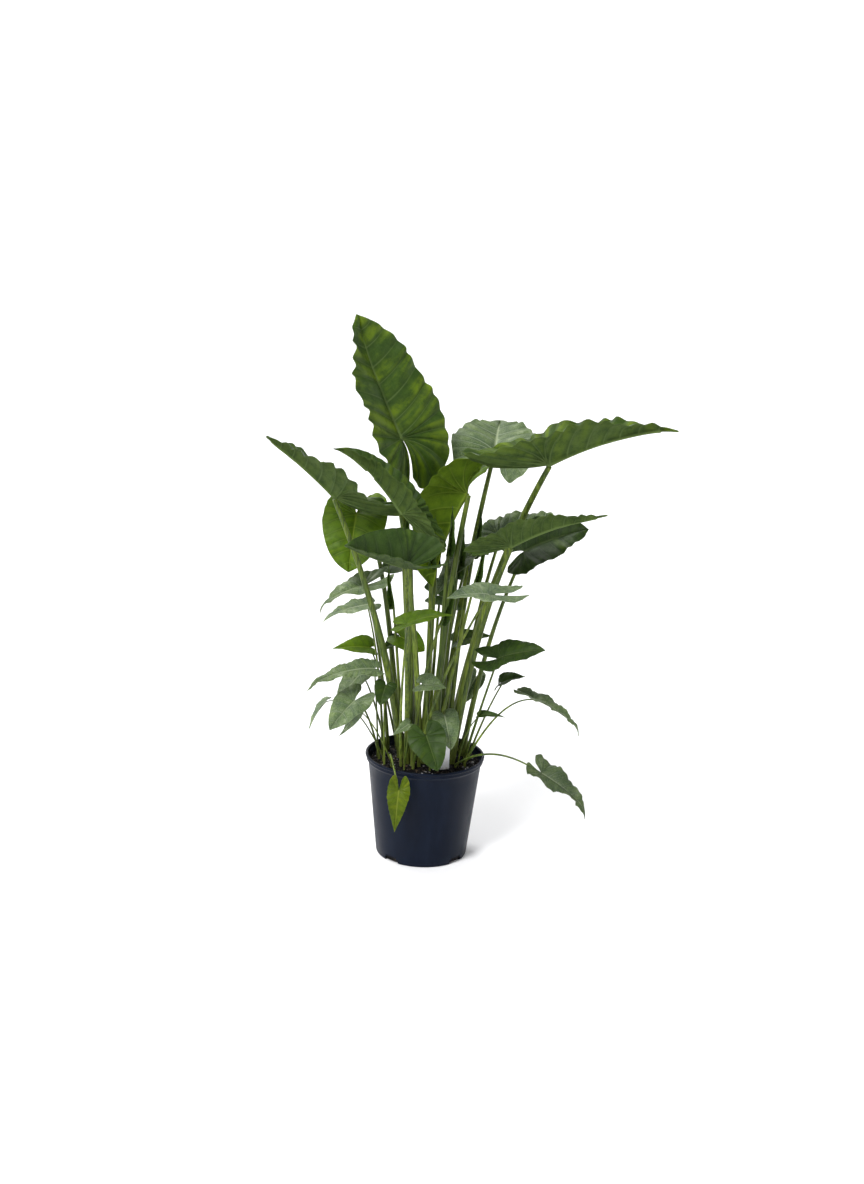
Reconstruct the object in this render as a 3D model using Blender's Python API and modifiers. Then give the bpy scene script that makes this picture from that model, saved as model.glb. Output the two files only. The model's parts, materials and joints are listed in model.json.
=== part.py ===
"""A potted alocasia: a nursery pot, its bark soil, a blank plant label and the leaves on their stalks.

Metres, +Z up. The origin is the middle of the pot's underside, on the surface that it stands on.
"""

import math
from collections import namedtuple

import bmesh
import bpy
from mathutils import Vector

NAME = "potted_alocasia"
GAP = 0.0003                # clearance between pieces that touch
MERGE = 0.00005             # points closer than this are one point
STEPS = 48                  # facets round the pot and the soil

# The pot: a tapered wall with a lip round the top and drain openings round the foot.
POT_HEIGHT = 0.219
RIM_RADIUS = 0.125          # over the bead
BASE_RADIUS = 0.0955
POT_WALL = 0.0025
POT_FLOOR = 0.003
LIP_HEIGHT = 0.016
LIP_STEP = 0.0065           # from the wall out to the bead
BEAD_RADIUS = 0.0028
BAND_INSET = 0.0025         # the lip's flat band lies this far inside the bead
DRAIN_COUNT = 4
DRAIN_FIRST = math.radians(-130)
DRAIN_WIDTH = 0.035
DRAIN_HEIGHT = 0.013
DRAIN_REACH = 0.012         # how far in from the foot's edge a drain opening runs
DRAIN_ROUND = 0.004
POT_COLOUR = (0.012, 0.016, 0.028)

# The soil.
HEADSPACE = 0.018           # from the top of the pot down to the soil at the wall
SOIL_LEVEL = POT_HEIGHT - HEADSPACE
SOIL_CROWN = 0.005          # how much higher the soil lies in the middle
SHOULDER_OUT = 0.6          # share of the soil's radius where its crown falls away
SHOULDER_UP = 0.8           # share of the crown that is left there
SOIL_COLOUR = (0.020, 0.015, 0.011)
SOCKET_DEPTH = 0.030        # how deep a stalk stands in the soil
SOCKET_CLEARANCE = 0.0004
SOCKET_SIDES = 8
CUT_CLEAR = 0.010           # how far a cutter stands out above the soil

# The plant label, which stands in a slot in the soil.
LABEL_WIDTH = 0.020
LABEL_THICKNESS = 0.0010
LABEL_STAND = 0.068         # above the soil at the wall
LABEL_DEPTH = 0.045
LABEL_POINT = 0.016         # length of its pointed lower end
LABEL_PLACE = (0.041, -0.050)
LABEL_COLOUR = (0.85, 0.85, 0.84)

# The leaves.
GROWTH = 1.0                # size of the plant, against the places in LEAVES
BLADE_THICKNESS = 0.0012
BLADE_ACROSS = 4
BLADE_ALONG = 12
VEIN_SLANT = 0.5            # how far a side vein runs towards the tip for each unit outwards
STALK_RINGS = 9
STALK_RISE = 0.010          # a stalk's upright stretch above the soil
STALK_TAPER = 0.8           # how early a stalk thins towards its neck
STALK_COLOUR = (0.150, 0.220, 0.060)

# Half of a leaf's outline, from the rear end of the notch, round the lobe to the tip. The notch's edge runs
# straight from the heart, where the stalk joins, to the first point. Forward and rearward lengths are
# shares of the blade and of the lobe; widths are shares of half the width.
HALF_OUTLINE = (
    (-0.70, 0.18),
    (-0.93, 0.32),
    (-1.00, 0.52),
    (-0.66, 0.85),
    (0.05, 1.00),
    (0.34, 0.82),
    (0.66, 0.45),
    (0.88, 0.15),
    (1.00, 0.00),
)
FULLER = (0.0, 0.0, 0.0, 0.0, 0.0, 0.14, 0.29, 0.25, 0.0)    # added widths on a blade that stays broad

# heart: where stalk and blade join. tip: the blade's end. faces: where its upper side looks.
# bend: the point that pulls the stalk into its curve. These places are measured from the middle of the
# soil at the wall's level, or on a leaf that hangs over the rim from the front of the rim.
# foot: where the stalk enters the soil, in shares of the soil's radius.
# width and lobe: the full width, and the rear lobes' length. folds: how far each half is raised, in
# degrees. arch: the midrib's bulge towards the upper side, as a share of its length.
# droop: how the rear lobes bend down. twist: how far the blade turns about its midrib, in degrees.
# full: how much of FULLER is added. girth and neck: the stalk's diameter at the soil and at the heart.
Leaf = namedtuple(
    "Leaf",
    "name heart tip faces width lobe folds arch droop twist foot bend girth neck tone full",
)


def wall_radius(height):
    """The pot's outer radius below its lip, at a height."""
    top = POT_HEIGHT - LIP_HEIGHT
    share = min(height / top, 1.0)
    return BASE_RADIUS + (RIM_RADIUS - LIP_STEP - BASE_RADIUS) * share


def inner_radius(height):
    """The pot's inner radius below its lip, at a height."""
    return wall_radius(height) - POT_WALL


SOIL_RADIUS = inner_radius(SOIL_LEVEL) - GAP
RIM_FRONT = Vector((0.0, -RIM_RADIUS, HEADSPACE))


def leaf(name, heart, tip, faces, width, lobe, foot, bend, girth, neck, folds=(20, 20),
         arch=0.06, droop=0.3, twist=0.0, tone="green", full=0.0, over_rim=False):
    """One row of the leaf table, with lengths brought to the plant's size."""
    origin = RIM_FRONT if over_rim else Vector()
    heart, tip, bend = (origin + Vector(point) * GROWTH for point in (heart, tip, bend))
    foot = Vector((*foot, 0.0)) * SOIL_RADIUS
    return Leaf(name, heart, tip, Vector(faces), width * GROWTH, lobe * GROWTH, folds, arch, droop,
                twist, foot, bend, girth * GROWTH, neck * GROWTH, tone, full)


LEAVES = (
    leaf("crown", (-0.076, 0.075, 0.670), (-0.178, 0.105, 0.916), (0.62, -0.80, 0.30),
         width=0.215, lobe=0.110, full=1.0, folds=(30, 12), arch=-0.04, droop=0.5,
         foot=(-0.186, 0.321), bend=(-0.062, 0.090, 0.420), girth=0.022, neck=0.010),
    leaf("left_high", (-0.200, -0.050, 0.569), (-0.341, -0.080, 0.688), (0.56, 0.49, 0.56),
         width=0.195, lobe=0.125, full=0.3, folds=(8, 40), arch=0.03, droop=-0.6,
         foot=(-0.422, 0.118), bend=(-0.086, -0.056, 0.300), girth=0.022, neck=0.009),
    leaf("left_rolled", (-0.066, -0.088, 0.550), (-0.202, -0.088, 0.681), (0.62, -0.15, 0.76),
         width=0.105, lobe=0.104, full=0.5, folds=(62, 62), droop=-0.15,
         foot=(-0.101, -0.051), bend=(-0.024, -0.040, 0.300), girth=0.016, neck=0.007),
    leaf("left_hanging", (-0.163, 0.070, 0.510), (-0.173, 0.010, 0.400), (-0.10, -0.80, 0.60),
         width=0.135, lobe=0.060, full=0.9, folds=(8, 8), tone="fresh",
         foot=(-0.490, 0.507), bend=(-0.105, 0.122, 0.500), girth=0.014, neck=0.006),
    leaf("centre_cupped", (-0.051, -0.185, 0.466), (-0.171, -0.235, 0.517), (0.25, -0.20, 0.90),
         width=0.150, lobe=0.060, full=0.6, folds=(35, 55), arch=-0.02, droop=-0.4, tone="dark",
         foot=(-0.321, -0.236), bend=(-0.042, -0.100, 0.220), girth=0.014, neck=0.006),
    leaf("right_high", (0.216, -0.090, 0.663), (0.466, -0.090, 0.743), (-0.27, 0.28, 0.92),
         width=0.195, lobe=0.142, folds=(48, 30), arch=0.05, droop=-0.45,
         foot=(0.422, 0.169), bend=(0.095, 0.050, 0.360), girth=0.023, neck=0.011),
    leaf("centre_backlit", (0.062, 0.020, 0.573), (0.002, 0.000, 0.379), (-0.82, 0.49, 0.16),
         width=0.190, lobe=0.080, full=1.0, folds=(30, 30), tone="fresh",
         foot=(0.118, 0.000), bend=(0.022, -0.020, 0.320), girth=0.022, neck=0.010),
    leaf("back_high", (0.119, 0.185, 0.630), (0.133, 0.350, 0.664), (0.00, -0.15, 1.00),
         width=0.190, lobe=0.080, full=0.5, folds=(10, 10), tone="grey",
         foot=(0.287, 0.523), bend=(0.056, 0.120, 0.330), girth=0.019, neck=0.009),
    leaf("right_mid", (0.152, -0.105, 0.498), (0.337, -0.130, 0.570), (-0.30, 0.40, 0.80),
         width=0.120, lobe=0.085, folds=(30, 30), arch=0.05, droop=-0.2,
         foot=(0.490, -0.101), bend=(0.088, -0.050, 0.300), girth=0.016, neck=0.007),
    leaf("right_dark", (0.185, 0.020, 0.458), (0.313, 0.010, 0.512), (0.05, -0.60, 0.80),
         width=0.125, lobe=0.045, full=0.8, folds=(12, 12), droop=0.0, tone="dark",
         foot=(0.692, 0.338), bend=(0.115, 0.035, 0.280), girth=0.014, neck=0.006),
    leaf("back_curly", (0.138, 0.140, 0.457), (0.273, 0.170, 0.501), (-0.20, -0.20, 1.00),
         width=0.110, lobe=0.060, folds=(20, 20), tone="grey",
         foot=(0.540, 0.574), bend=(0.090, 0.100, 0.300), girth=0.014, neck=0.006),
    leaf("back_slate", (0.070, 0.070, 0.425), (0.007, 0.040, 0.345), (-0.55, -0.40, 0.75),
         width=0.080, lobe=0.045, folds=(20, 20), tone="grey",
         foot=(0.118, 0.642), bend=(0.034, 0.074, 0.260), girth=0.012, neck=0.005),
    leaf("front_pale", (0.111, -0.150, 0.410), (0.030, -0.190, 0.410), (0.00, -0.33, 0.95),
         width=0.070, lobe=0.080, folds=(10, 10), droop=-0.2, tone="pale",
         foot=(-0.101, -0.338), bend=(0.006, -0.080, 0.190), girth=0.008, neck=0.004),
    leaf("left_pair_upper", (-0.139, 0.045, 0.364), (-0.238, 0.015, 0.316), (-0.15, -0.55, 0.80),
         width=0.070, lobe=0.055, folds=(18, 5), arch=0.09, droop=-0.4, twist=35, tone="grey",
         foot=(-0.692, 0.473), bend=(-0.098, 0.050, 0.230), girth=0.009, neck=0.004),
    leaf("left_pair_lower", (-0.131, -0.006, 0.338), (-0.219, -0.064, 0.322), (-0.10, -0.45, 0.85),
         width=0.050, lobe=0.026, folds=(10, 0), arch=0.04, droop=0.0, tone="pale",
         foot=(-0.777, 0.203), bend=(-0.098, 0.020, 0.200), girth=0.007, neck=0.003),
    leaf("centre_small", (-0.045, -0.185, 0.354), (0.041, -0.200, 0.379), (0.00, -0.30, 0.95),
         width=0.060, lobe=0.030, folds=(15, 15), droop=-0.2, tone="fresh",
         foot=(-0.422, -0.371), bend=(-0.058, -0.100, 0.170), girth=0.007, neck=0.004),
    leaf("right_tail", (0.137, -0.098, 0.263), (0.230, -0.146, 0.299), (0.05, -0.55, 0.80),
         width=0.075, lobe=0.040, full=0.5, folds=(10, 10), droop=-0.6, tone="dark",
         foot=(0.709, -0.068), bend=(0.108, -0.040, 0.130), girth=0.008, neck=0.004),
    leaf("right_small", (0.153, -0.010, 0.183), (0.199, -0.040, 0.208), (0.10, -0.50, 0.80),
         width=0.045, lobe=0.020, tone="dark",
         foot=(0.794, 0.118), bend=(0.125, 0.008, 0.120), girth=0.006, neck=0.003),
    leaf("right_narrow", (0.219, -0.060, 0.168), (0.317, -0.110, 0.118), (0.50, -0.20, 0.85),
         width=0.050, lobe=0.045, folds=(20, 20), droop=0.0, tone="grey",
         foot=(0.726, -0.220), bend=(0.150, -0.040, 0.165), girth=0.006, neck=0.003),
    leaf("right_low", (0.240, -0.120, 0.029), (0.337, -0.180, -0.031), (0.45, -0.50, 0.75),
         width=0.066, lobe=0.030, folds=(20, 12), droop=-0.5, tone="grey",
         foot=(0.557, -0.338), bend=(0.140, -0.085, 0.085), girth=0.006, neck=0.003),
    leaf("over_rim", (-0.050, -0.015, -0.031), (-0.055, -0.025, -0.118), (-0.05, -1.00, 0.15),
         width=0.046, lobe=0.030, folds=(4, 4), droop=-0.35, tone="yellow",
         foot=(-0.591, -0.422), bend=(-0.078, 0.013, 0.072), girth=0.005, neck=0.003, over_rim=True),
    leaf("front_heart", (0.001, -0.095, 0.090), (0.028, -0.140, 0.032), (0.00, -0.85, 0.50),
         width=0.078, lobe=0.026, full=0.6, folds=(8, 8), droop=-0.4, tone="green",
         foot=(-0.203, -0.473), bend=(-0.012, -0.060, 0.072), girth=0.006, neck=0.003),
    leaf("front_heart_small", (0.037, -0.045, 0.117), (0.053, -0.076, 0.055), (0.15, -0.80, 0.50),
         width=0.056, lobe=0.016, full=0.6, folds=(8, 8), tone="grey",
         foot=(0.338, -0.220), bend=(0.033, -0.022, 0.090), girth=0.005, neck=0.003),
    leaf("dark_heart", (-0.086, -0.055, 0.182), (-0.096, -0.090, 0.150), (0.00, -0.80, 0.60),
         width=0.045, lobe=0.014, full=0.7, folds=(10, 10), tone="dark",
         foot=(-0.726, -0.287), bend=(-0.090, -0.034, 0.120), girth=0.005, neck=0.003),
    leaf("low_left_heart", (-0.149, -0.050, 0.144), (-0.196, -0.100, 0.095), (-0.25, -0.70, 0.60),
         width=0.075, lobe=0.040, full=0.5, folds=(8, 8), droop=0.0, tone="grey",
         foot=(-0.827, -0.051), bend=(-0.125, -0.010, 0.130), girth=0.006, neck=0.003),
    leaf("low_left_back", (-0.142, 0.030, 0.176), (-0.192, 0.000, 0.104), (-0.40, -0.50, 0.70),
         width=0.065, lobe=0.025, folds=(12, 12), tone="grey",
         foot=(-0.743, 0.507), bend=(-0.120, 0.055, 0.150), girth=0.005, neck=0.003),
    leaf("mid_left_upper", (-0.124, 0.050, 0.228), (-0.202, 0.030, 0.228), (0.00, -0.45, 0.85),
         width=0.060, lobe=0.014, folds=(15, 15), tone="fresh",
         foot=(-0.540, 0.675), bend=(-0.100, 0.080, 0.170), girth=0.006, neck=0.003),
    leaf("mid_left_grey", (-0.111, -0.035, 0.210), (-0.253, -0.070, 0.170), (-0.10, -0.50, 0.80),
         width=0.050, lobe=0.020, folds=(10, 10), arch=0.12, tone="grey",
         foot=(-0.861, 0.101), bend=(-0.104, 0.000, 0.120), girth=0.005, neck=0.003),
)

# Colour and roughness of a blade, by its tone.
TONES = {
    "green": ((0.045, 0.115, 0.025), 0.42),
    "dark": ((0.022, 0.070, 0.020), 0.38),
    "fresh": ((0.110, 0.240, 0.020), 0.45),
    "grey": ((0.090, 0.150, 0.085), 0.40),
    "pale": ((0.180, 0.270, 0.140), 0.42),
    "yellow": ((0.220, 0.330, 0.030), 0.45),
}


def clear_scene():
    """Take every object out of the open scene."""
    for thing in list(bpy.data.objects):
        bpy.data.objects.remove(thing, do_unlink=True)


def new_collection(name):
    """A collection of that name, in the open scene."""
    group = bpy.data.collections.new(name)
    bpy.context.scene.collection.children.link(group)
    return group


def material(name, colour, roughness, metallic=0.0):
    """A plain Principled material."""
    made = bpy.data.materials.new(name)
    made.use_nodes = True
    shader = made.node_tree.nodes["Principled BSDF"]
    shader.inputs["Base Color"].default_value = (*colour, 1.0)
    shader.inputs["Roughness"].default_value = roughness
    shader.inputs["Metallic"].default_value = metallic
    return made


def add(name, data, group, finish=None):
    """An object of that name in a collection, with its material."""
    made = bpy.data.objects.new(name, data)
    group.objects.link(made)
    if finish:
        data.materials.append(finish)
    return made


def mesh_from(bm, name, smooth=True):
    """The mesh of a finished bmesh."""
    mesh = bpy.data.meshes.new(name)
    bm.to_mesh(mesh)
    bm.free()
    if smooth:
        mesh.shade_smooth()
    return mesh


def as_cutter(thing):
    """Mark an object as one that only cuts."""
    thing.hide_render = True
    thing.display_type = "WIRE"
    return thing


def cut_with(thing, cutters):
    """Take a whole collection of cutters out of an object."""
    cut = thing.modifiers.new("cut", "BOOLEAN")
    cut.operation = "DIFFERENCE"
    cut.operand_type = "COLLECTION"
    cut.collection = cutters
    cut.solver = "EXACT"


def turned(name, profile, group, finish):
    """A solid turned round the Z axis from (radius, height) points, down its outer side."""
    bm = bmesh.new()
    ring = [bm.verts.new((radius, 0.0, height)) for radius, height in profile]
    for first, second in zip(ring, ring[1:]):
        bm.edges.new((first, second))
    made = add(name, mesh_from(bm, name, smooth=False), group, finish)
    screw = made.modifiers.new("turn", "SCREW")
    screw.steps = screw.render_steps = STEPS
    screw.use_merge_vertices = True
    screw.merge_threshold = MERGE
    screw.use_smooth_shade = True
    return made


def arc(centre, radius, start, end, parts):
    """Points along an arc in a profile, in degrees from the outward direction."""
    points = []
    for step in range(parts + 1):
        angle = math.radians(start + (end - start) * step / parts)
        points.append((centre[0] + radius * math.cos(angle), centre[1] + radius * math.sin(angle)))
    return points


def make_pot(group, cutters):
    """The pot, with its lip, bead and drain openings."""
    lip_foot = POT_HEIGHT - LIP_HEIGHT
    bead = (RIM_RADIUS - BEAD_RADIUS, POT_HEIGHT - BEAD_RADIUS)
    band = RIM_RADIUS - BAND_INSET
    profile = [
        (0.0, POT_FLOOR),
        (inner_radius(POT_FLOOR), POT_FLOOR),
        (inner_radius(lip_foot), lip_foot),
        (band - POT_WALL, lip_foot + LIP_STEP),
        (band - POT_WALL, bead[1] - BEAD_RADIUS),
    ]
    profile += arc(bead, BEAD_RADIUS, 150, -60, 5)
    profile += [
        (band, bead[1] - 2 * BEAD_RADIUS),
        (band, lip_foot + LIP_STEP / 2),
        (wall_radius(lip_foot), lip_foot),
        (BASE_RADIUS, 0.0),
        (0.0, 0.0),
    ]
    pot = turned("pot", profile, group, material("pot_plastic", POT_COLOUR, 0.45))
    for index in range(DRAIN_COUNT):
        turn = DRAIN_FIRST + 2 * math.pi * index / DRAIN_COUNT
        bm = bmesh.new()
        bmesh.ops.create_cube(bm, size=1.0)
        bmesh.ops.scale(bm, vec=(2 * DRAIN_REACH, DRAIN_WIDTH, 2 * DRAIN_HEIGHT), verts=bm.verts)
        bmesh.ops.bevel(bm, geom=list(bm.edges), offset=DRAIN_ROUND, segments=2, affect="EDGES")
        cutter = add("drain_cutter", mesh_from(bm, "drain_cutter"), cutters)
        cutter.location = (BASE_RADIUS * math.cos(turn), BASE_RADIUS * math.sin(turn), 0.0)
        cutter.rotation_euler = (0.0, 0.0, turn)
        as_cutter(cutter)
    cut_with(pot, cutters)
    return pot


def make_soil(group, cutters):
    """The bark soil, with a socket for each stalk and a slot for the label."""
    profile = [
        (0.0, SOIL_LEVEL + SOIL_CROWN),
        (SHOULDER_OUT * SOIL_RADIUS, SOIL_LEVEL + SHOULDER_UP * SOIL_CROWN),
        (SOIL_RADIUS, SOIL_LEVEL),
        (inner_radius(POT_FLOOR) - GAP, POT_FLOOR + GAP),
        (0.0, POT_FLOOR + GAP),
    ]
    soil = turned("soil", profile, group, material("bark_soil", SOIL_COLOUR, 0.95))
    for row in LEAVES:
        bm = bmesh.new()
        height = SOCKET_DEPTH + SOIL_CROWN + CUT_CLEAR
        radius = (row.girth / 2 + SOCKET_CLEARANCE) / math.cos(math.pi / SOCKET_SIDES)
        bmesh.ops.create_cone(
            bm, cap_ends=True, segments=SOCKET_SIDES, radius1=radius, radius2=radius, depth=height
        )
        cutter = add(row.name + "_socket", mesh_from(bm, "socket"), cutters)
        cutter.location = (row.foot.x, row.foot.y, SOIL_LEVEL - SOCKET_DEPTH - GAP + height / 2)
        as_cutter(cutter)
    bm = bmesh.new()
    bmesh.ops.create_cube(bm, size=1.0)
    height = LABEL_DEPTH + SOIL_CROWN + CUT_CLEAR
    slot = (LABEL_WIDTH + 2 * GAP, LABEL_THICKNESS + 2 * GAP, height)
    bmesh.ops.scale(bm, vec=slot, verts=bm.verts)
    cutter = add("label_slot", mesh_from(bm, "label_slot"), cutters)
    cutter.location = (*LABEL_PLACE, SOIL_LEVEL - LABEL_DEPTH - GAP + height / 2)
    as_cutter(cutter)
    cut_with(soil, cutters)
    return soil


def make_label(group):
    """The blank label: a flat strip with a pointed lower end."""
    half = LABEL_WIDTH / 2
    outline = (
        (-half, LABEL_STAND),
        (-half, LABEL_POINT - LABEL_DEPTH),
        (0.0, -LABEL_DEPTH),
        (half, LABEL_POINT - LABEL_DEPTH),
        (half, LABEL_STAND),
    )
    curve = bpy.data.curves.new("plant_label", "CURVE")
    curve.dimensions = "2D"
    curve.fill_mode = "BOTH"
    curve.extrude = LABEL_THICKNESS / 2
    spline = curve.splines.new("POLY")
    spline.points.add(len(outline) - 1)
    for point, (x, y) in zip(spline.points, outline):
        point.co = (x, y, 0.0, 1.0)
    spline.use_cyclic_u = True
    label = add("plant_label", curve, group, material("label_plastic", LABEL_COLOUR, 0.4))
    label.location = (*LABEL_PLACE, SOIL_LEVEL)
    label.rotation_euler = (math.pi / 2, 0.0, 0.0)
    return label


def spline_point(points, share):
    """A point on a smooth curve through the points, at a share of the way from first to last."""
    place = share * (len(points) - 1)
    index = min(int(place), len(points) - 2)
    t = place - index
    before = points[max(index - 1, 0)]
    start, end = points[index], points[index + 1]
    after = points[min(index + 2, len(points) - 1)]
    return tuple(
        0.5 * (2 * b + (c - a) * t + (2 * a - 5 * b + 4 * c - d) * t * t + (3 * b - a - 3 * c + d) * t ** 3)
        for a, b, c, d in zip(before, start, end, after)
    )


def blade_frame(row, x):
    """The midrib's point at a share x of its length, with the directions along, across and up."""
    chord = row.tip - row.heart
    up = (row.faces - chord * (row.faces.dot(chord) / chord.length_squared)).normalized()
    crest = (row.heart + row.tip) / 2 + up * (2 * row.arch * chord.length)
    t = max(x, 0.0)
    along = ((crest - row.heart) * (1 - t) + (row.tip - crest) * t).normalized()
    point = row.heart * (1 - t) ** 2 + crest * (2 * t * (1 - t)) + row.tip * t * t
    up = (up - along * up.dot(along)).normalized()
    across = up.cross(along)
    turn = math.radians(row.twist) * t
    across, up = (
        across * math.cos(turn) + up * math.sin(turn),
        up * math.cos(turn) - across * math.sin(turn),
    )
    return point, along, across, up


def blade_point(row, u, share):
    """A point of the blade: u runs from margin to margin, share along the outline to the tip."""
    length = (row.tip - row.heart).length
    outline = [(forward, outward + row.full * more) for (forward, outward), more in zip(HALF_OUTLINE, FULLER)]
    forward, outward = spline_point(outline, share)
    forward *= length if forward > 0 else row.lobe
    outward *= row.width / 2
    inner = min(max(0.0, forward - VEIN_SLANT * outward), length)
    reach = abs(u)
    x = inner + (forward - inner) * reach
    y = outward * reach
    point, along, across, up = blade_frame(row, x / length)
    raised = math.radians(row.folds[0] if u > 0 else row.folds[1])
    side = 1.0 if u > 0 else -1.0
    behind = min(x, 0.0)
    point = point + along * behind + across * (side * y * math.cos(raised)) + up * (y * math.sin(raised))
    if behind < 0:
        point = point - up * (row.droop * behind * behind / row.lobe)
    return point


def make_blade(row, group):
    """One leaf's blade: a sheet that follows its outline, with a thickness."""
    bm = bmesh.new()
    bmesh.ops.create_grid(bm, x_segments=BLADE_ACROSS, y_segments=BLADE_ALONG, size=1.0)
    for vert in bm.verts:
        vert.co = blade_point(row, vert.co.x, (vert.co.y + 1) / 2)
    bmesh.ops.remove_doubles(bm, verts=bm.verts, dist=MERGE)
    name = row.name + "_blade"
    colour, roughness = TONES[row.tone]
    blade = add(name, mesh_from(bm, name), group, material(name, colour, roughness))
    blade.location.z = SOIL_LEVEL
    shell = blade.modifiers.new("thickness", "SOLIDIFY")
    shell.thickness = BLADE_THICKNESS
    shell.offset = 0.0
    return blade


def stalk_route(row):
    """The stalk's centre line: up out of its socket and along its bend to just under the heart."""
    _, _, _, up = blade_frame(row, 0.0)
    arrive = (row.heart - row.bend).normalized()
    slope = math.sqrt(max(0.0, 1 - arrive.dot(up) ** 2))
    end = row.heart - up * (BLADE_THICKNESS / 2 + 2 * GAP + slope * row.neck / 2)
    start = row.foot + Vector((0.0, 0.0, STALK_RISE))
    points = [row.foot - Vector((0.0, 0.0, SOCKET_DEPTH)), start]
    for step in range(1, STALK_RINGS):
        t = step / (STALK_RINGS - 1)
        points.append(start * (1 - t) ** 2 + row.bend * (2 * t * (1 - t)) + end * t * t)
    return points


def make_stalk(row, group):
    """One leaf's stalk: a tube that thins from its foot to its neck."""
    name = row.name + "_stalk"
    route = stalk_route(row)
    curve = bpy.data.curves.new(name, "CURVE")
    curve.dimensions = "3D"
    curve.bevel_depth = row.girth / 2
    curve.bevel_resolution = 1
    curve.use_fill_caps = True
    spline = curve.splines.new("POLY")
    spline.points.add(len(route) - 1)
    for index, (point, place) in enumerate(zip(spline.points, route)):
        point.co = (*place, 1.0)
        grown = max(0.0, (index - 1) / (len(route) - 2)) ** STALK_TAPER
        point.radius = 1 + (row.neck / row.girth - 1) * grown
    stalk = add(name, curve, group, material(name, STALK_COLOUR, 0.45))
    stalk.location.z = SOIL_LEVEL
    return stalk


def main():
    """Build the whole plant."""
    clear_scene()
    plant = new_collection(NAME)
    make_pot(plant, new_collection(NAME + "_drain_cutters"))
    make_soil(plant, new_collection(NAME + "_soil_cutters"))
    make_label(plant)
    for row in LEAVES:
        make_blade(row, plant)
        make_stalk(row, plant)


main()
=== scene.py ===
"""The looks of a potted alocasia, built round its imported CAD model.

Metres, +Z up, in the frame's own axes: the pot stands on the floor at the origin and its front faces -Y.
Each leaf grows from the same row of sizes as its CAD blade and stalk, with a far finer surface: a
quilted sheet between sunken veins, a waved margin, and raised ribs underneath.
"""

import json
import math
from collections import namedtuple

import bmesh
import bpy
import numpy as np
from mathutils import Matrix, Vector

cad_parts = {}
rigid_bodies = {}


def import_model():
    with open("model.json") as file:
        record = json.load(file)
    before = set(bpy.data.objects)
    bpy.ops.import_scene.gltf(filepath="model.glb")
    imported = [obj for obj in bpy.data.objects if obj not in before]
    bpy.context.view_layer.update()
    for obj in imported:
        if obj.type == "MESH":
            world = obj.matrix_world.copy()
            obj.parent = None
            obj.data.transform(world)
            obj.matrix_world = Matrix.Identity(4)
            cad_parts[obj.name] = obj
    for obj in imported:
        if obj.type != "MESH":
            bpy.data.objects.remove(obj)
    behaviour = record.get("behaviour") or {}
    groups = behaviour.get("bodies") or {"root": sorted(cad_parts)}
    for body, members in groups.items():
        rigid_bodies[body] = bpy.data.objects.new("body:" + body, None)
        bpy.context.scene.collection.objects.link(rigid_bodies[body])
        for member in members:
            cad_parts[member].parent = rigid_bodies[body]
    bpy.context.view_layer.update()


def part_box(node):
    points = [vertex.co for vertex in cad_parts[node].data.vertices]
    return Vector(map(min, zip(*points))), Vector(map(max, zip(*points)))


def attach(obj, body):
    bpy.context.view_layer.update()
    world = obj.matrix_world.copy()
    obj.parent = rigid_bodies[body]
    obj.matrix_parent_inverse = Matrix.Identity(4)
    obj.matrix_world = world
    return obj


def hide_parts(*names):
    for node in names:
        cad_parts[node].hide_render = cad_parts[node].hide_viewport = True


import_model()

BODY = "root"
GAP = 0.0003                # between two pieces that meet

# The pot: its height is read from its CAD node, and the rest is the same as there.
POT_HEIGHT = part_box("pot")[1].z
RIM_RADIUS = 0.125
BASE_RADIUS = 0.0955
POT_WALL = 0.0025
POT_FLOOR = 0.003
LIP_HEIGHT = 0.016
LIP_STEP = 0.0065
BEAD_RADIUS = 0.0028
BAND_INSET = 0.0025
DRAIN_COUNT = 4
DRAIN_FIRST = math.radians(-130)
DRAIN_WIDTH = 0.035
DRAIN_HEIGHT = 0.013
DRAIN_REACH = 0.012
DRAIN_ROUND = 0.004
BAND_SWELL = 0.0002         # the lip's band widens this much downwards
LIP_ROUND = 0.0012
FOOT_ROUND = 0.0025
POT_STEPS = 192
POT_SHARP = 35              # in degrees

# The soil and the chips of bark, grit and perlite on it.
HEADSPACE = 0.018
SOIL_LEVEL = POT_HEIGHT - HEADSPACE
SOIL_CROWN = 0.0035         # how far the soil rises towards its middle
SOIL_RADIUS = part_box("soil")[1].x
SOIL_SINK = 0.001           # keeps the visible soil under the CAD's surface
SOIL_ROUGH = 0.0011         # how far the soil's surface rises and falls
SOIL_RINGS = 64
SOIL_STEPS = 160
CHIP_COUNT = 2600
CHIP_SIZES = (0.0016, 0.0052)
CHIP_REACH = 0.975          # how far out the chips lie, as a share of the soil's radius
CHIP_LEAN = 0.35            # in radians

# The label.
LABEL_WIDTH = 0.020
LABEL_THICKNESS = 0.0010
LABEL_STAND = 0.068
LABEL_DEPTH = 0.045
LABEL_POINT = 0.016
LABEL_PLACE = (0.041, -0.050)
LABEL_ROUND = 0.003
LABEL_BOW = 0.0035          # how far the label's top leans back

# The floor and its backdrop.
FLOOR_REACH = 8.0
FLOOR_DROP = 0.0005         # keeps the floor clear of the pot's foot
BACKDROP_BEND = 2.0
BACKDROP_TOP = 4.5

# The lights, each shining from its place towards the origin, and the camera.
WORLD_STRENGTH = 0.48
KEY_PLACE = (-0.55, -0.75, 0.95)
KEY_STRENGTH = 3.2
KEY_SPREAD = math.radians(22)
BACK_PLACE = (-0.50, 0.70, 0.90)
BACK_STRENGTH = 1.8
BACK_SPREAD = math.radians(30)
CAMERA_PLACE = (0.0, -3.6, 1.57)
CAMERA_PITCH = math.radians(15.53)
CAMERA_ROLL = math.radians(2.5)
CAMERA_LENS = 55.43

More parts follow.
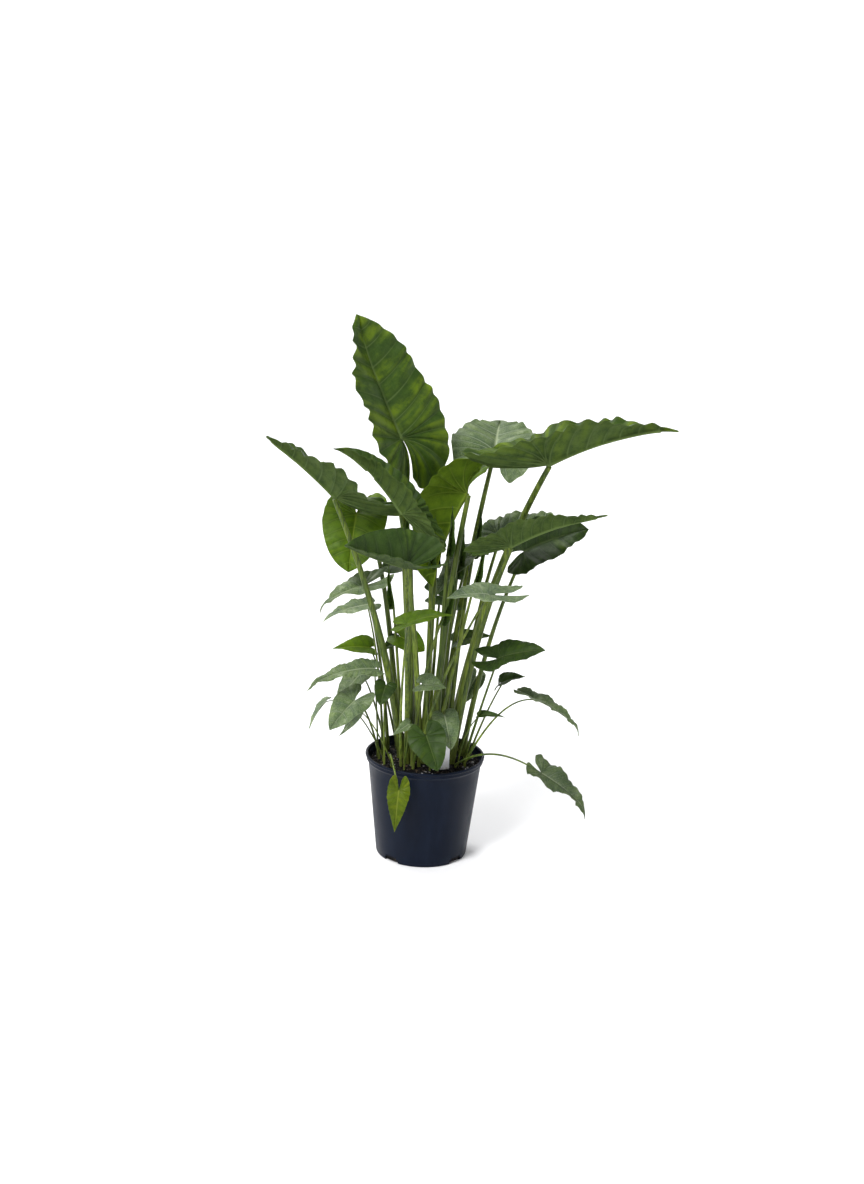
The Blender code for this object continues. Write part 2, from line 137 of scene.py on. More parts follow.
# The leaves. Shares of a width or a length have no unit.
BLADE_HALF = 0.00035        # half of a blade's thickness
LARGE_WIDTH = 0.1           # a leaf wider than this is a large one
LARGE_WAVE, SMALL_WAVE = 0.018, 0.022
LARGE_QUILT, SMALL_QUILT = 0.012, 0.008
LARGE_VEINS, SMALL_VEINS = 0.165, 0.26
LARGE_RIPPLE, SMALL_RIPPLE = 0.75, 0.25     # the part of the wave that follows the veins
VEIN_SLANT = 0.5
VEIN_CURVE = 0.40           # how far a side vein sags before it turns towards the tip
VEIN_STRAY = 0.20           # how far a vein leaves its even place, as a share of their spacing
LEAST_VEINS = 6
OUTLINE_STEPS = 600
SLOW_WAVE = (3.2, 4.6)      # the shortest and longest slow wave of the margin, in veins
SWELL = (5, 8)              # the same of the sheet's swells
BILLOW = 0.022              # how far these swells rise, as a share of the width
HOOK_START = 0.75           # a tip that droops starts to do so here
MIDRIB_LEAST = 0.0004
SIDE_RIB_LEAST = 0.0001
SIDE_RIB_SHARE = 0.30       # a side rib at the midrib, as a share of the midrib
SHARP_ANGLE = 60            # in degrees

# Where the points lie between midrib and margin, and between two veins.
ACROSS = (0.0, 0.012, 0.03, 0.055, 0.09, 0.14, 0.2, 0.28, 0.37, 0.47, 0.57, 0.67, 0.76, 0.84, 0.91, 0.96, 1.0)
BETWEEN_VEINS = (0.0, 0.07, 0.16, 0.28, 0.42, 0.58, 0.72, 0.84, 0.93)

# The stalks.
STALK_TAPER = 0.8
STALK_RISE = 0.010          # a stalk starts this far above the soil's flat level
SOCKET_DEPTH = 0.030
STALK_RINGS = 56
STALK_SIDES = 24
RIDGE_COUNT = 8
RIDGE_HEIGHT = 0.018        # the ridges along a stalk, as a share of its radius
GROOVE_WIDTH = 0.55         # in radians
GROOVE_FOOT, GROOVE_TOP = 0.42, 0.06        # the groove's depth, as a share of the radius
SHADE_STEP = 0.618          # spreads the stalks' shades evenly

# Half of a blade's outline, from the notch between the rear lobes round to the tip: how far forward of the
# heart, as a share of the lobe behind it and of the length before it, and how far out, as a share of half
# the width. FULLER and CLOSER are added to the second for a rounder tip and for lobes that close the notch.
HALF_OUTLINE = (
    (-0.70, 0.18),
    (-0.93, 0.32),
    (-1.00, 0.52),
    (-0.66, 0.85),
    (0.05, 1.00),
    (0.34, 0.82),
    (0.66, 0.45),
    (0.88, 0.15),
    (1.00, 0.00),
)
FULLER = (0.0, 0.0, 0.0, 0.0, 0.0, 0.14, 0.29, 0.25, 0.0)
CLOSER = (-0.15, -0.12, -0.05, 0.0, 0.0, 0.0, 0.0, 0.0, 0.0)

# The values down to full are the CAD model's. wave: how far the margin rises and falls; quilt: how far the
# sheet bulges between two veins; veins: the spacing of the side veins at the margin; bow: how far each
# half domes: all as shares of the width. hook: how far the tip droops, as a share of the length.
# glow: how much of the blade shows a painted glow of light coming through it. dim: a factor on its colours.
# closed: how far the rear lobes close the notch. extra: a small leaf with no CAD node.
Leaf = namedtuple(
    "Leaf",
    "name heart tip faces width lobe folds arch droop twist foot bend girth neck tone full"
    " wave quilt veins bow hook glow dim closed extra",
)
RIM_FRONT = np.array((0.0, -RIM_RADIUS, HEADSPACE))


def leaf(name, heart, tip, faces, width, lobe, foot, bend, girth, neck, folds=(20, 20),
         arch=0.06, droop=0.3, twist=0.0, tone="green", full=0.0, over_rim=False, extra=False,
         wave=None, quilt=None, veins=None, bow=0.10, hook=0.0, glow=0.3, dim=1.0, closed=0.0):
    """One leaf's values, with its points as arrays. A surface value that isn't given goes by its width."""
    usual = (LARGE_WAVE, LARGE_QUILT, LARGE_VEINS)
    if width <= LARGE_WIDTH:
        usual = (SMALL_WAVE, SMALL_QUILT, SMALL_VEINS)
    given = (wave, quilt, veins)
    wave, quilt, veins = (size if own is None else own for own, size in zip(given, usual))
    origin = RIM_FRONT if over_rim else np.zeros(3)
    heart, tip, bend = (origin + np.array(point) for point in (heart, tip, bend))
    foot = np.array((*foot, 0.0)) * SOIL_RADIUS
    return Leaf(name, heart, tip, np.array(faces), width, lobe, folds, arch, droop, twist, foot, bend,
                girth, neck, tone, full, wave, quilt, veins, bow, hook, glow, dim, closed, extra)


LEAVES = (
    leaf("crown", (-0.076, 0.075, 0.670), (-0.178, 0.105, 0.916), (0.62, -0.80, 0.30), width=0.215,
         lobe=0.110, full=1.0, folds=(30, 12), arch=-0.04, droop=0.5, foot=(-0.186, 0.321),
         bend=(-0.062, 0.090, 0.420), girth=0.022, neck=0.010, wave=0.020, glow=0.85, closed=1.0),
    leaf("left_high", (-0.200, -0.050, 0.569), (-0.341, -0.080, 0.688), (0.56, 0.49, 0.56), width=0.195,
         lobe=0.125, full=0.3, folds=(8, 40), arch=0.03, droop=-0.6, foot=(-0.422, 0.118),
         bend=(-0.086, -0.056, 0.300), girth=0.022, neck=0.009, wave=0.020, hook=-0.02),
    leaf("left_rolled", (-0.066, -0.088, 0.550), (-0.202, -0.088, 0.681), (0.62, -0.15, 0.76), width=0.105,
         lobe=0.104, full=0.5, folds=(62, 62), droop=-0.15, foot=(-0.101, -0.051),
         bend=(-0.024, -0.040, 0.300), girth=0.016, neck=0.007, wave=0.025, hook=0.04, glow=0.5),
    leaf("left_hanging", (-0.163, 0.070, 0.510), (-0.173, 0.010, 0.400), (-0.10, -0.80, 0.60), width=0.135,
         lobe=0.060, full=0.9, folds=(8, 8), tone="fresh", foot=(-0.490, 0.507), bend=(-0.105, 0.122, 0.500),
         girth=0.014, neck=0.006, wave=0.012, glow=0.5),
    leaf("centre_cupped", (-0.051, -0.185, 0.466), (-0.171, -0.235, 0.517), (0.25, -0.20, 0.90), width=0.150,
         lobe=0.060, full=0.6, folds=(35, 55), arch=-0.02, droop=-0.4, tone="dark", foot=(-0.321, -0.236),
         bend=(-0.042, -0.100, 0.220), girth=0.014, neck=0.006, wave=0.012, quilt=0.007),
    leaf("right_high", (0.216, -0.090, 0.663), (0.466, -0.090, 0.743), (-0.27, 0.28, 0.92), width=0.195,
         lobe=0.142, folds=(48, 30), arch=0.05, droop=-0.45, foot=(0.422, 0.169), bend=(0.095, 0.050, 0.360),
         girth=0.023, neck=0.011, wave=0.024, hook=0.02, glow=0.9),
    leaf("centre_backlit", (0.062, 0.020, 0.573), (0.002, 0.000, 0.379), (-0.82, 0.49, 0.16), width=0.190,
         lobe=0.080, full=1.0, folds=(30, 30), tone="fresh", foot=(0.118, 0.000),
         bend=(0.022, -0.020, 0.320), girth=0.022, neck=0.010, wave=0.014, glow=0.5),
    leaf("back_high", (0.119, 0.185, 0.630), (0.133, 0.350, 0.664), (0.00, -0.15, 1.00), width=0.190,
         lobe=0.080, full=0.5, folds=(10, 10), tone="grey", foot=(0.287, 0.523), bend=(0.056, 0.120, 0.330),
         girth=0.019, neck=0.009, wave=0.020, quilt=0.007),
    leaf("right_mid", (0.152, -0.105, 0.498), (0.337, -0.130, 0.570), (-0.30, 0.40, 0.80), width=0.120,
         lobe=0.085, folds=(30, 30), arch=0.05, droop=-0.2, foot=(0.490, -0.101),
         bend=(0.088, -0.050, 0.300), girth=0.016, neck=0.007, wave=0.018, hook=-0.02),
    leaf("right_dark", (0.185, 0.020, 0.458), (0.313, 0.010, 0.512), (0.05, -0.60, 0.80), width=0.125,
         lobe=0.045, full=0.8, folds=(12, 12), droop=0.0, tone="dark", foot=(0.692, 0.338),
         bend=(0.115, 0.035, 0.280), girth=0.014, neck=0.006, wave=0.022, quilt=0.004, dim=0.75),
    leaf("back_curly", (0.138, 0.140, 0.457), (0.273, 0.170, 0.501), (-0.20, -0.20, 1.00), width=0.110,
         lobe=0.060, tone="grey", foot=(0.540, 0.574), bend=(0.090, 0.100, 0.300), girth=0.014, neck=0.006,
         wave=0.035, hook=0.08),
    leaf("back_slate", (0.070, 0.070, 0.425), (0.007, 0.040, 0.345), (-0.55, -0.40, 0.75), width=0.080,
         lobe=0.045, tone="grey", foot=(0.118, 0.642), bend=(0.034, 0.074, 0.260), girth=0.012, neck=0.005,
         dim=0.75),
    leaf("front_pale", (0.111, -0.150, 0.410), (0.030, -0.190, 0.410), (0.00, -0.33, 0.95), width=0.070,
         lobe=0.080, folds=(10, 10), droop=-0.2, tone="pale", foot=(-0.101, -0.338),
         bend=(0.006, -0.080, 0.190), girth=0.008, neck=0.004, wave=0.030, quilt=0.014),
    leaf("left_pair_upper", (-0.139, 0.045, 0.364), (-0.238, 0.015, 0.316), (-0.15, -0.55, 0.80),
         width=0.070, lobe=0.055, folds=(18, 5), arch=0.09, droop=-0.4, twist=35, tone="grey",
         foot=(-0.692, 0.473), bend=(-0.098, 0.050, 0.230), girth=0.009, neck=0.004, wave=0.040, hook=0.16),
    leaf("left_pair_lower", (-0.131, -0.006, 0.338), (-0.219, -0.064, 0.322), (-0.10, -0.45, 0.85),
         width=0.050, lobe=0.026, folds=(10, 0), arch=0.04, droop=0.0, tone="pale", foot=(-0.777, 0.203),
         bend=(-0.098, 0.020, 0.200), girth=0.007, neck=0.003, wave=0.040, hook=0.12),
    leaf("centre_small", (-0.045, -0.185, 0.354), (0.041, -0.200, 0.379), (0.00, -0.30, 0.95), width=0.060,
         lobe=0.030, folds=(15, 15), droop=-0.2, tone="fresh", foot=(-0.422, -0.371),
         bend=(-0.058, -0.100, 0.170), girth=0.007, neck=0.004),
    leaf("right_tail", (0.137, -0.098, 0.263), (0.230, -0.146, 0.299), (0.05, -0.55, 0.80), width=0.075,
         lobe=0.040, full=0.5, folds=(10, 10), droop=-0.6, tone="dark", foot=(0.709, -0.068),
         bend=(0.108, -0.040, 0.130), girth=0.008, neck=0.004, wave=0.030, quilt=0.014, dim=0.80),
    leaf("right_small", (0.153, -0.010, 0.183), (0.199, -0.040, 0.208), (0.10, -0.50, 0.80), width=0.045,
         lobe=0.020, tone="dark", foot=(0.794, 0.118), bend=(0.125, 0.008, 0.120), girth=0.006, neck=0.003,
         dim=0.80),
    leaf("right_narrow", (0.219, -0.060, 0.168), (0.317, -0.110, 0.118), (0.50, -0.20, 0.85), width=0.050,
         lobe=0.045, droop=0.0, tone="grey", foot=(0.726, -0.220), bend=(0.150, -0.040, 0.165), girth=0.006,
         neck=0.003, wave=0.050, hook=0.10, dim=0.80),
    leaf("right_low", (0.240, -0.120, 0.029), (0.337, -0.180, -0.031), (0.45, -0.50, 0.75), width=0.066,
         lobe=0.030, folds=(20, 12), droop=-0.5, tone="grey", foot=(0.557, -0.338),
         bend=(0.140, -0.085, 0.085), girth=0.006, neck=0.003, wave=0.070, quilt=0.016, hook=0.16, glow=0.5,
         dim=0.58),
    leaf("over_rim", (-0.050, -0.015, -0.031), (-0.055, -0.025, -0.118), (-0.05, -1.00, 0.15), width=0.046,
         lobe=0.030, folds=(4, 4), droop=-0.35, tone="yellow", foot=(-0.591, -0.422),
         bend=(-0.078, 0.013, 0.072), girth=0.005, neck=0.003, over_rim=True, wave=0.050, quilt=0.020,
         glow=0.6),
    leaf("front_heart", (0.001, -0.095, 0.090), (0.028, -0.140, 0.032), (0.00, -0.85, 0.50), width=0.078,
         lobe=0.026, full=0.6, folds=(8, 8), droop=-0.4, foot=(-0.203, -0.473), bend=(-0.012, -0.060, 0.072),
         girth=0.006, neck=0.003, wave=0.030, quilt=0.014, glow=0.1, dim=0.80),
    leaf("front_heart_small", (0.037, -0.045, 0.117), (0.053, -0.076, 0.055), (0.15, -0.80, 0.50),
         width=0.056, lobe=0.016, full=0.6, folds=(8, 8), tone="grey", foot=(0.338, -0.220),
         bend=(0.033, -0.022, 0.090), girth=0.005, neck=0.003, wave=0.030, quilt=0.014),
    leaf("dark_heart", (-0.086, -0.055, 0.182), (-0.096, -0.090, 0.150), (0.00, -0.80, 0.60), width=0.045,
         lobe=0.014, full=0.7, folds=(10, 10), tone="dark", foot=(-0.726, -0.287),
         bend=(-0.090, -0.034, 0.120), girth=0.005, neck=0.003, quilt=0.014, dim=0.80),
    leaf("low_left_heart", (-0.149, -0.050, 0.144), (-0.196, -0.100, 0.095), (-0.25, -0.70, 0.60),
         width=0.075, lobe=0.040, full=0.5, folds=(8, 8), droop=0.0, tone="grey", foot=(-0.827, -0.051),
         bend=(-0.125, -0.010, 0.130), girth=0.006, neck=0.003, wave=0.030, quilt=0.014),
    leaf("low_left_back", (-0.142, 0.030, 0.176), (-0.192, 0.000, 0.104), (-0.40, -0.50, 0.70), width=0.065,
         lobe=0.025, folds=(12, 12), tone="grey", foot=(-0.743, 0.507), bend=(-0.120, 0.055, 0.150),
         girth=0.005, neck=0.003, dim=0.80),
    leaf("mid_left_upper", (-0.124, 0.050, 0.228), (-0.202, 0.030, 0.228), (0.00, -0.45, 0.85), width=0.060,
         lobe=0.014, folds=(15, 15), tone="fresh", foot=(-0.540, 0.675), bend=(-0.100, 0.080, 0.170),
         girth=0.006, neck=0.003),
    leaf("mid_left_grey", (-0.111, -0.035, 0.210), (-0.253, -0.070, 0.170), (-0.10, -0.50, 0.80),
         width=0.050, lobe=0.020, folds=(10, 10), arch=0.12, tone="grey", foot=(-0.861, 0.101),
         bend=(-0.104, 0.000, 0.120), girth=0.005, neck=0.003, wave=0.050, hook=0.08),
)

def sprig(name, heart, tip, faces, width, lobe, foot, bend, girth=0.004, neck=0.002, **more):
    """A small leaf low in the clump, with no CAD node."""
    return leaf("sprig_" + name, heart, tip, faces, width, lobe, foot, bend, girth, neck, extra=True, **more)


def spear(name, heart, tip, lean, width, foot, bend, girth, neck, lobe=0.012, folds=(70, 70), tone="green"):
    """A young leaf, tall and still folded, which faces the front and leans to one side."""
    return leaf("spear_" + name, heart, tip, (lean, -0.90, 0.10), width, lobe, foot, bend, girth, neck,
                folds, tone=tone, extra=True)


# Leaves that have no CAD node, and ride on the plant.
SMALL_LEAVES = (
    sprig("right", (0.110, -0.040, 0.121), (0.161, -0.060, 0.125), (0.05, -0.50, 0.85), width=0.022,
          lobe=0.010, foot=(0.60, -0.24), bend=(0.080, -0.032, 0.090), tone="dark"),
    sprig("centre", (-0.008, -0.088, 0.198), (0.037, -0.100, 0.196), (-0.10, -0.62, 0.78), width=0.056,
          lobe=0.022, folds=(5, 25), foot=(0.10, -0.52), bend=(0.006, -0.070, 0.120), tone="grey"),
    sprig("left", (-0.209, -0.030, 0.133), (-0.241, -0.060, 0.079), (-0.85, -0.25, 0.45), width=0.034,
          lobe=0.012, foot=(-0.76, -0.10), bend=(-0.150, -0.020, 0.150), tone="pale"),
    sprig("low_left", (-0.143, -0.060, 0.127), (-0.178, -0.080, 0.076), (0.75, -0.45, 0.45), width=0.030,
          lobe=0.010, foot=(-0.60, -0.32), bend=(-0.115, -0.045, 0.115), tone="pale"),
    sprig("behind_left", (-0.069, 0.070, 0.241), (-0.098, 0.050, 0.222), (-0.20, -0.70, 0.70), width=0.036,
          lobe=0.012, foot=(-0.42, 0.58), bend=(-0.060, 0.078, 0.150), tone="dark"),
    sprig("behind_right", (0.062, 0.098, 0.238), (0.131, 0.100, 0.250), (0.00, -0.60, 0.80), width=0.046,
          lobe=0.020, foot=(0.36, 0.72), bend=(0.052, 0.094, 0.150), girth=0.005, neck=0.003, tone="dark"),
    sprig("inner_left", (-0.062, 0.040, 0.258), (-0.010, 0.030, 0.232), (0.10, -0.75, 0.60), width=0.062,
          lobe=0.024, full=0.7, foot=(-0.14, 0.56), bend=(-0.030, 0.060, 0.160), girth=0.006, neck=0.003,
          tone="fresh"),
    sprig("inner_right", (0.100, 0.060, 0.170), (0.076, 0.040, 0.118), (-0.10, -0.85, 0.45), width=0.046,
          lobe=0.018, full=0.7, foot=(0.62, 0.40), bend=(0.098, 0.062, 0.100), girth=0.005, neck=0.003,
          tone="grey"),
    sprig("back", (0.018, 0.110, 0.330), (0.070, 0.140, 0.300), (0.10, -0.60, 0.75), width=0.080,
          lobe=0.034, full=0.6, foot=(0.05, 0.72), bend=(0.010, 0.095, 0.200), girth=0.010, neck=0.005,
          tone="dark"),
    sprig("back_left", (-0.050, 0.130, 0.400), (-0.110, 0.150, 0.372), (-0.10, -0.60, 0.75), width=0.084,
          lobe=0.036, full=0.6, foot=(-0.22, 0.72), bend=(-0.030, 0.100, 0.240), girth=0.011, neck=0.005,
          tone="dark"),
    spear("front", (0.024, -0.060, 0.330), (0.046, -0.064, 0.420), 0.30, width=0.040, foot=(-0.22, -0.34),
          bend=(-0.020, -0.050, 0.190), girth=0.009, neck=0.005),
    spear("right", (0.088, -0.010, 0.400), (0.104, -0.012, 0.490), 0.20, width=0.040, folds=(72, 72),
          foot=(0.12, -0.30), bend=(0.052, -0.030, 0.230), girth=0.010, neck=0.005),
    spear("left", (-0.042, -0.030, 0.380), (-0.052, -0.028, 0.480), -0.20, width=0.042, foot=(-0.34, -0.22),
          bend=(-0.040, -0.034, 0.210), girth=0.011, neck=0.006, tone="fresh"),
    spear("centre", (-0.004, 0.010, 0.430), (0.000, 0.012, 0.540), 0.10, width=0.046, lobe=0.014,
          foot=(-0.02, -0.16), bend=(0.000, -0.004, 0.240), girth=0.013, neck=0.007),
    spear("back", (0.052, 0.050, 0.400), (0.060, 0.056, 0.500), 0.20, width=0.044, lobe=0.014,
          foot=(0.22, 0.18), bend=(0.036, 0.034, 0.230), girth=0.012, neck=0.006, tone="dark"),
    spear("inner", (0.030, 0.000, 0.460), (0.034, 0.004, 0.550), 0.20, width=0.044, lobe=0.014,
          foot=(0.20, -0.16), bend=(0.022, -0.014, 0.260), girth=0.015, neck=0.006, tone="dark"),
    spear("rear", (0.006, 0.060, 0.420), (0.004, 0.070, 0.510), 0.10, width=0.044, lobe=0.014,
          foot=(-0.04, 0.24), bend=(0.002, 0.036, 0.240), girth=0.017, neck=0.007, tone="dark"),
    spear("rear_left", (-0.048, 0.050, 0.440), (-0.056, 0.058, 0.530), -0.20, width=0.044, lobe=0.014,
          foot=(-0.26, 0.10), bend=(-0.036, 0.028, 0.250), girth=0.016, neck=0.007),
    spear("rear_right", (0.084, 0.070, 0.440), (0.094, 0.080, 0.530), 0.20, width=0.044, lobe=0.014,
          foot=(0.38, 0.04), bend=(0.056, 0.034, 0.250), girth=0.015, neck=0.006, tone="dark"),
    spear("back_left", (-0.080, 0.040, 0.330), (-0.092, 0.044, 0.410), -0.20, width=0.036,
          foot=(-0.42, 0.16), bend=(-0.062, 0.030, 0.190), girth=0.009, neck=0.005),
    sprig("base", (-0.035, -0.080, 0.109), (-0.067, -0.100, 0.090), (0.00, -0.80, 0.60), width=0.026,
          lobe=0.008, foot=(-0.36, -0.56), bend=(-0.036, -0.072, 0.080), tone="grey"),
)

# Blade colours by tone: upper side, its painted glow of light coming through, under side, and the veins on
# both sides.
TONES = {
    "green": ((0.044, 0.090, 0.012), (0.165, 0.255, 0.007), (0.074, 0.118, 0.026), (0.130, 0.190, 0.055)),
    "dark": ((0.034, 0.070, 0.009), (0.085, 0.145, 0.009), (0.070, 0.105, 0.034), (0.085, 0.125, 0.038)),
    "fresh": ((0.095, 0.175, 0.007), (0.180, 0.280, 0.006), (0.105, 0.180, 0.008), (0.200, 0.280, 0.030)),
    "grey": ((0.110, 0.165, 0.060), (0.160, 0.225, 0.060), (0.140, 0.190, 0.090), (0.330, 0.390, 0.230)),
    "pale": ((0.165, 0.230, 0.105), (0.220, 0.290, 0.110), (0.160, 0.210, 0.110), (0.440, 0.500, 0.340)),
    "yellow": ((0.090, 0.140, 0.002), (0.175, 0.215, 0.003), (0.100, 0.150, 0.010), (0.210, 0.255, 0.030)),
}


class Nodes:
    """One material's shader nodes, made by short calls that return sockets."""

    def __init__(self, name):
        self.material = bpy.data.materials.new(name)
        self.material.use_nodes = True
        self.tree = self.material.node_tree
        self.shader = self.tree.nodes["Principled BSDF"]
        self.output = self.tree.nodes["Material Output"]

    def put(self, socket, value):
        """Feed a socket from another one, or set it to a plain value."""
        if isinstance(value, bpy.types.NodeSocket):
            self.tree.links.new(value, socket)
        else:
            socket.default_value = value

    def add(self, kind, inputs=None, **settings):
        """A node with its settings and inputs, which are sockets or plain values."""
        node = self.tree.nodes.new(kind)
        for key, value in settings.items():
            setattr(node, key, value)
        for key, value in (inputs or {}).items():
            self.put(node.inputs[key], value)
        return node

    def place(self, stretch=(1.0, 1.0, 1.0)):
        """The piece's own coordinates, in metres, stretched along its axes."""
        where = self.add("ShaderNodeTexCoord").outputs["Object"]
        return self.add("ShaderNodeMapping", {"Vector": where, "Scale": stretch}).outputs[0]

    def noise(self, where, scale, detail=3.0, roughness=0.55):
        """A noise from 0 to 1."""
        inputs = {"Vector": where, "Scale": scale, "Detail": detail, "Roughness": roughness}
        return self.add("ShaderNodeTexNoise", inputs).outputs["Fac"]

    def cells(self, where, scale, feature="DISTANCE_TO_EDGE"):
        """The distance to the nearest cell wall, or the cells' random colours."""
        node = self.add("ShaderNodeTexVoronoi", {"Vector": where, "Scale": scale}, feature=feature)
        return node.outputs["Distance" if feature == "DISTANCE_TO_EDGE" else "Color"]

    def read(self, name):
        """A number stored on the mesh."""
        return self.add("ShaderNodeAttribute", attribute_name=name).outputs["Fac"]

    def fade(self, value, low, high, start=0.0, end=1.0):
        """value brought smoothly from low..high to start..end."""
        inputs = {"Value": value, "From Min": low, "From Max": high, "To Min": start, "To Max": end}
        node = self.add("ShaderNodeMapRange", inputs, interpolation_type="SMOOTHSTEP")
        return node.outputs[0]

    def times(self, first, second):
        """Two numbers multiplied."""
        return self.add("ShaderNodeMath", {0: first, 1: second}, operation="MULTIPLY").outputs[0]

    def plus(self, first, second):
        """Two numbers added."""
        return self.add("ShaderNodeMath", {0: first, 1: second}, operation="ADD").outputs[0]

    def mix(self, share, first, second):
        """Two colours mixed by a share. The node's colours are its inputs 6 and 7 and its output 2."""
        node = self.add("ShaderNodeMix", {0: share}, data_type="RGBA")
        for index, colour in ((6, first), (7, second)):
            self.put(node.inputs[index], (*colour, 1.0) if isinstance(colour, tuple) else colour)
        return node.outputs[2]

    def bump(self, height, strength, distance):
        """A bump from a height."""
        inputs = {"Height": height, "Strength": strength, "Distance": distance}
        self.put(self.shader.inputs["Normal"], self.add("ShaderNodeBump", inputs).outputs[0])

    def finish(self, colour, roughness, gloss=0.5):
        """Set the shader's colour, roughness and specular level, and return the material."""
        self.put(self.shader.inputs["Base Color"], colour)
        self.put(self.shader.inputs["Roughness"], roughness)
        self.shader.inputs["Specular IOR Level"].default_value = gloss
        return self.material


def blade_material(tone, under, glow, dim):
    """A leaf's upper or under side: veins, a fine net between them, and a painted glow of light coming
    through.
    """
    deep, painted_glow_colour, below, vein = (tuple(dim * value for value in colour) for colour in TONES[tone])
    base = below if under else deep
    shade = tuple(value * part for value, part in zip(base, (0.34, 0.42, 0.65)))
    nodes = Nodes(f"leaf_{tone}_{'under' if under else 'upper'}_{round(100 * glow)}_{round(100 * dim)}")
    where = nodes.place()
    mottle = nodes.noise(where, 38.0, 5.0, 0.7)
    grain = nodes.noise(where, 420.0, 2.0)
    net = nodes.cells(where, 210.0)
    reach, vein_share, rib_share = nodes.read("reach"), nodes.read("vein_share"), nodes.read("rib_share")

    # Painted glow: light painted as coming through the blade, in patches drawn out along the veins.
    along_veins = {0: nodes.read("phase"), 1: nodes.times(reach, 0.6)}
    streaks = nodes.noise(nodes.add("ShaderNodeCombineXYZ", along_veins).outputs[0], 1.0, 4.0, 0.6)
    patches = nodes.plus(nodes.times(streaks, 0.75), nodes.times(nodes.noise(where, 8.0, 2.0), 0.25))
    most = (0.30 if under else 1.0) * (0.35 + 0.60 * glow)
    painted_glow_share = nodes.fade(patches, 0.60 - 0.20 * glow, 0.70 - 0.16 * glow, 0.0, most)
    painted_glow_share = nodes.times(painted_glow_share, nodes.fade(vein_share, 0.006, 0.050, 0.35, 1.0))
    # painted glow: the colour is lifted towards the glow colour where light is painted as coming through the
    # blade
    colour = nodes.mix(painted_glow_share, base, painted_glow_colour)

    # Mottling, marbling, and the fine net between the veins.
    colour = nodes.mix(nodes.fade(mottle, 0.42, 0.68, 0.0, 0.70), colour, shade)
    marbled = tone in ("pale", "grey")
    colour = nodes.mix(nodes.fade(mottle, 0.30, 0.48, 0.60 if marbled else 0.18, 0.0), colour, vein)
    lines = nodes.fade(net, 0.0, 0.10, 0.30 if marbled else 0.16, 0.0)
    colour = nodes.mix(lines, colour, vein)

    # The veins, pale between darker hollows, which fade towards the margin; the midrib; the pale edge.
    fades = nodes.fade(reach, 0.45, 1.0, 1.0, 0.45)
    near = nodes.times(nodes.fade(vein_share, 0.002, 0.034, 0.40 if under else 0.52, 0.0), fades)
    colour = nodes.mix(near, colour, shade)
    strength = {"pale": 0.70, "grey": 0.60, "dark": 0.35}.get(tone, 0.55)
    core = nodes.times(nodes.fade(vein_share, 0.0015, 0.0065, strength, 0.0), fades)
    colour = nodes.mix(core, colour, vein)
    colour = nodes.mix(nodes.fade(rib_share, 0.0, 1.0, 0.0, 0.85), colour, vein)
    colour = nodes.mix(nodes.fade(reach, 0.985, 1.0, 0.0, 0.45), colour, vein)

    # The fine relief, and the light that comes through.
    height = nodes.plus(nodes.fade(net, 0.0, 0.16), nodes.times(grain, 0.35))
    nodes.bump(height, 0.35 if under else 0.25, 0.0006)
    low, high = (0.55, 0.72) if under else (0.38, 0.56)
    made = nodes.finish(colour, nodes.fade(mottle, 0.3, 0.7, low, high), 0.10 if under else 0.17)
    through = nodes.add("ShaderNodeBsdfTranslucent", {"Color": nodes.mix(0.60, colour, painted_glow_colour)})
    lets_through = 0.34 if tone in ("fresh", "yellow", "green") else 0.20
    sides = {0: lets_through, 1: nodes.shader.outputs[0], 2: through.outputs[0]}
    nodes.put(nodes.output.inputs["Surface"], nodes.add("ShaderNodeMixShader", sides).outputs[0])
    return made


def stalk_material():
    """A stalk: yellow-green with long darker streaks, paler in its groove and near the soil."""
    nodes = Nodes("stalk")
    streaks = nodes.noise(nodes.place((1.0, 1.0, 0.03)), 330.0, 3.0, 0.6)
    broad = nodes.noise(nodes.place((1.0, 1.0, 0.12)), 55.0, 3.0, 0.6)
    up, groove, own = nodes.read("up"), nodes.read("groove"), nodes.read("own")
    colour = nodes.mix(nodes.fade(broad, 0.35, 0.65), (0.052, 0.084, 0.011), (0.160, 0.215, 0.028))
    colour = nodes.mix(nodes.fade(own, 0.0, 1.0, 0.0, 0.55), colour, (0.036, 0.060, 0.009))
    colour = nodes.mix(nodes.fade(streaks, 0.46, 0.62, 0.0, 0.70), colour, (0.018, 0.036, 0.008))
    colour = nodes.mix(nodes.fade(groove, 0.0, 1.0, 0.0, 0.50), colour, (0.190, 0.240, 0.050))
    colour = nodes.mix(nodes.fade(up, 0.0, 0.10, 0.45, 0.0), colour, (0.150, 0.170, 0.040))
    nodes.bump(streaks, 0.35, 0.0008)
    return nodes.finish(colour, nodes.fade(broad, 0.3, 0.7, 0.34, 0.48), gloss=0.22)


def pot_material():
    """Dark blue-grey moulded plastic: a satin skin with faint flow lines, scuffs and dust."""
    nodes = Nodes("pot_plastic")
    where = nodes.place()
    skin = nodes.noise(where, 900.0, 2.0)
    scuffs = nodes.noise(nodes.place((1.0, 1.0, 0.25)), 38.0, 6.0, 0.7)
    flow = nodes.noise(nodes.place((1.0, 1.0, 0.06)), 70.0, 2.0)
    dust = nodes.noise(where, 210.0, 5.0, 0.7)
    colour = nodes.mix(nodes.fade(scuffs, 0.40, 0.75), (0.0018, 0.0046, 0.0125), (0.0036, 0.0074, 0.0175))
    colour = nodes.mix(nodes.fade(dust, 0.62, 0.80, 0.0, 0.35), colour, (0.030, 0.036, 0.046))
    nodes.bump(nodes.plus(skin, nodes.times(flow, 0.5)), 0.12, 0.0008)
    return nodes.finish(colour, nodes.fade(scuffs, 0.3, 0.7, 0.34, 0.50), gloss=0.10)


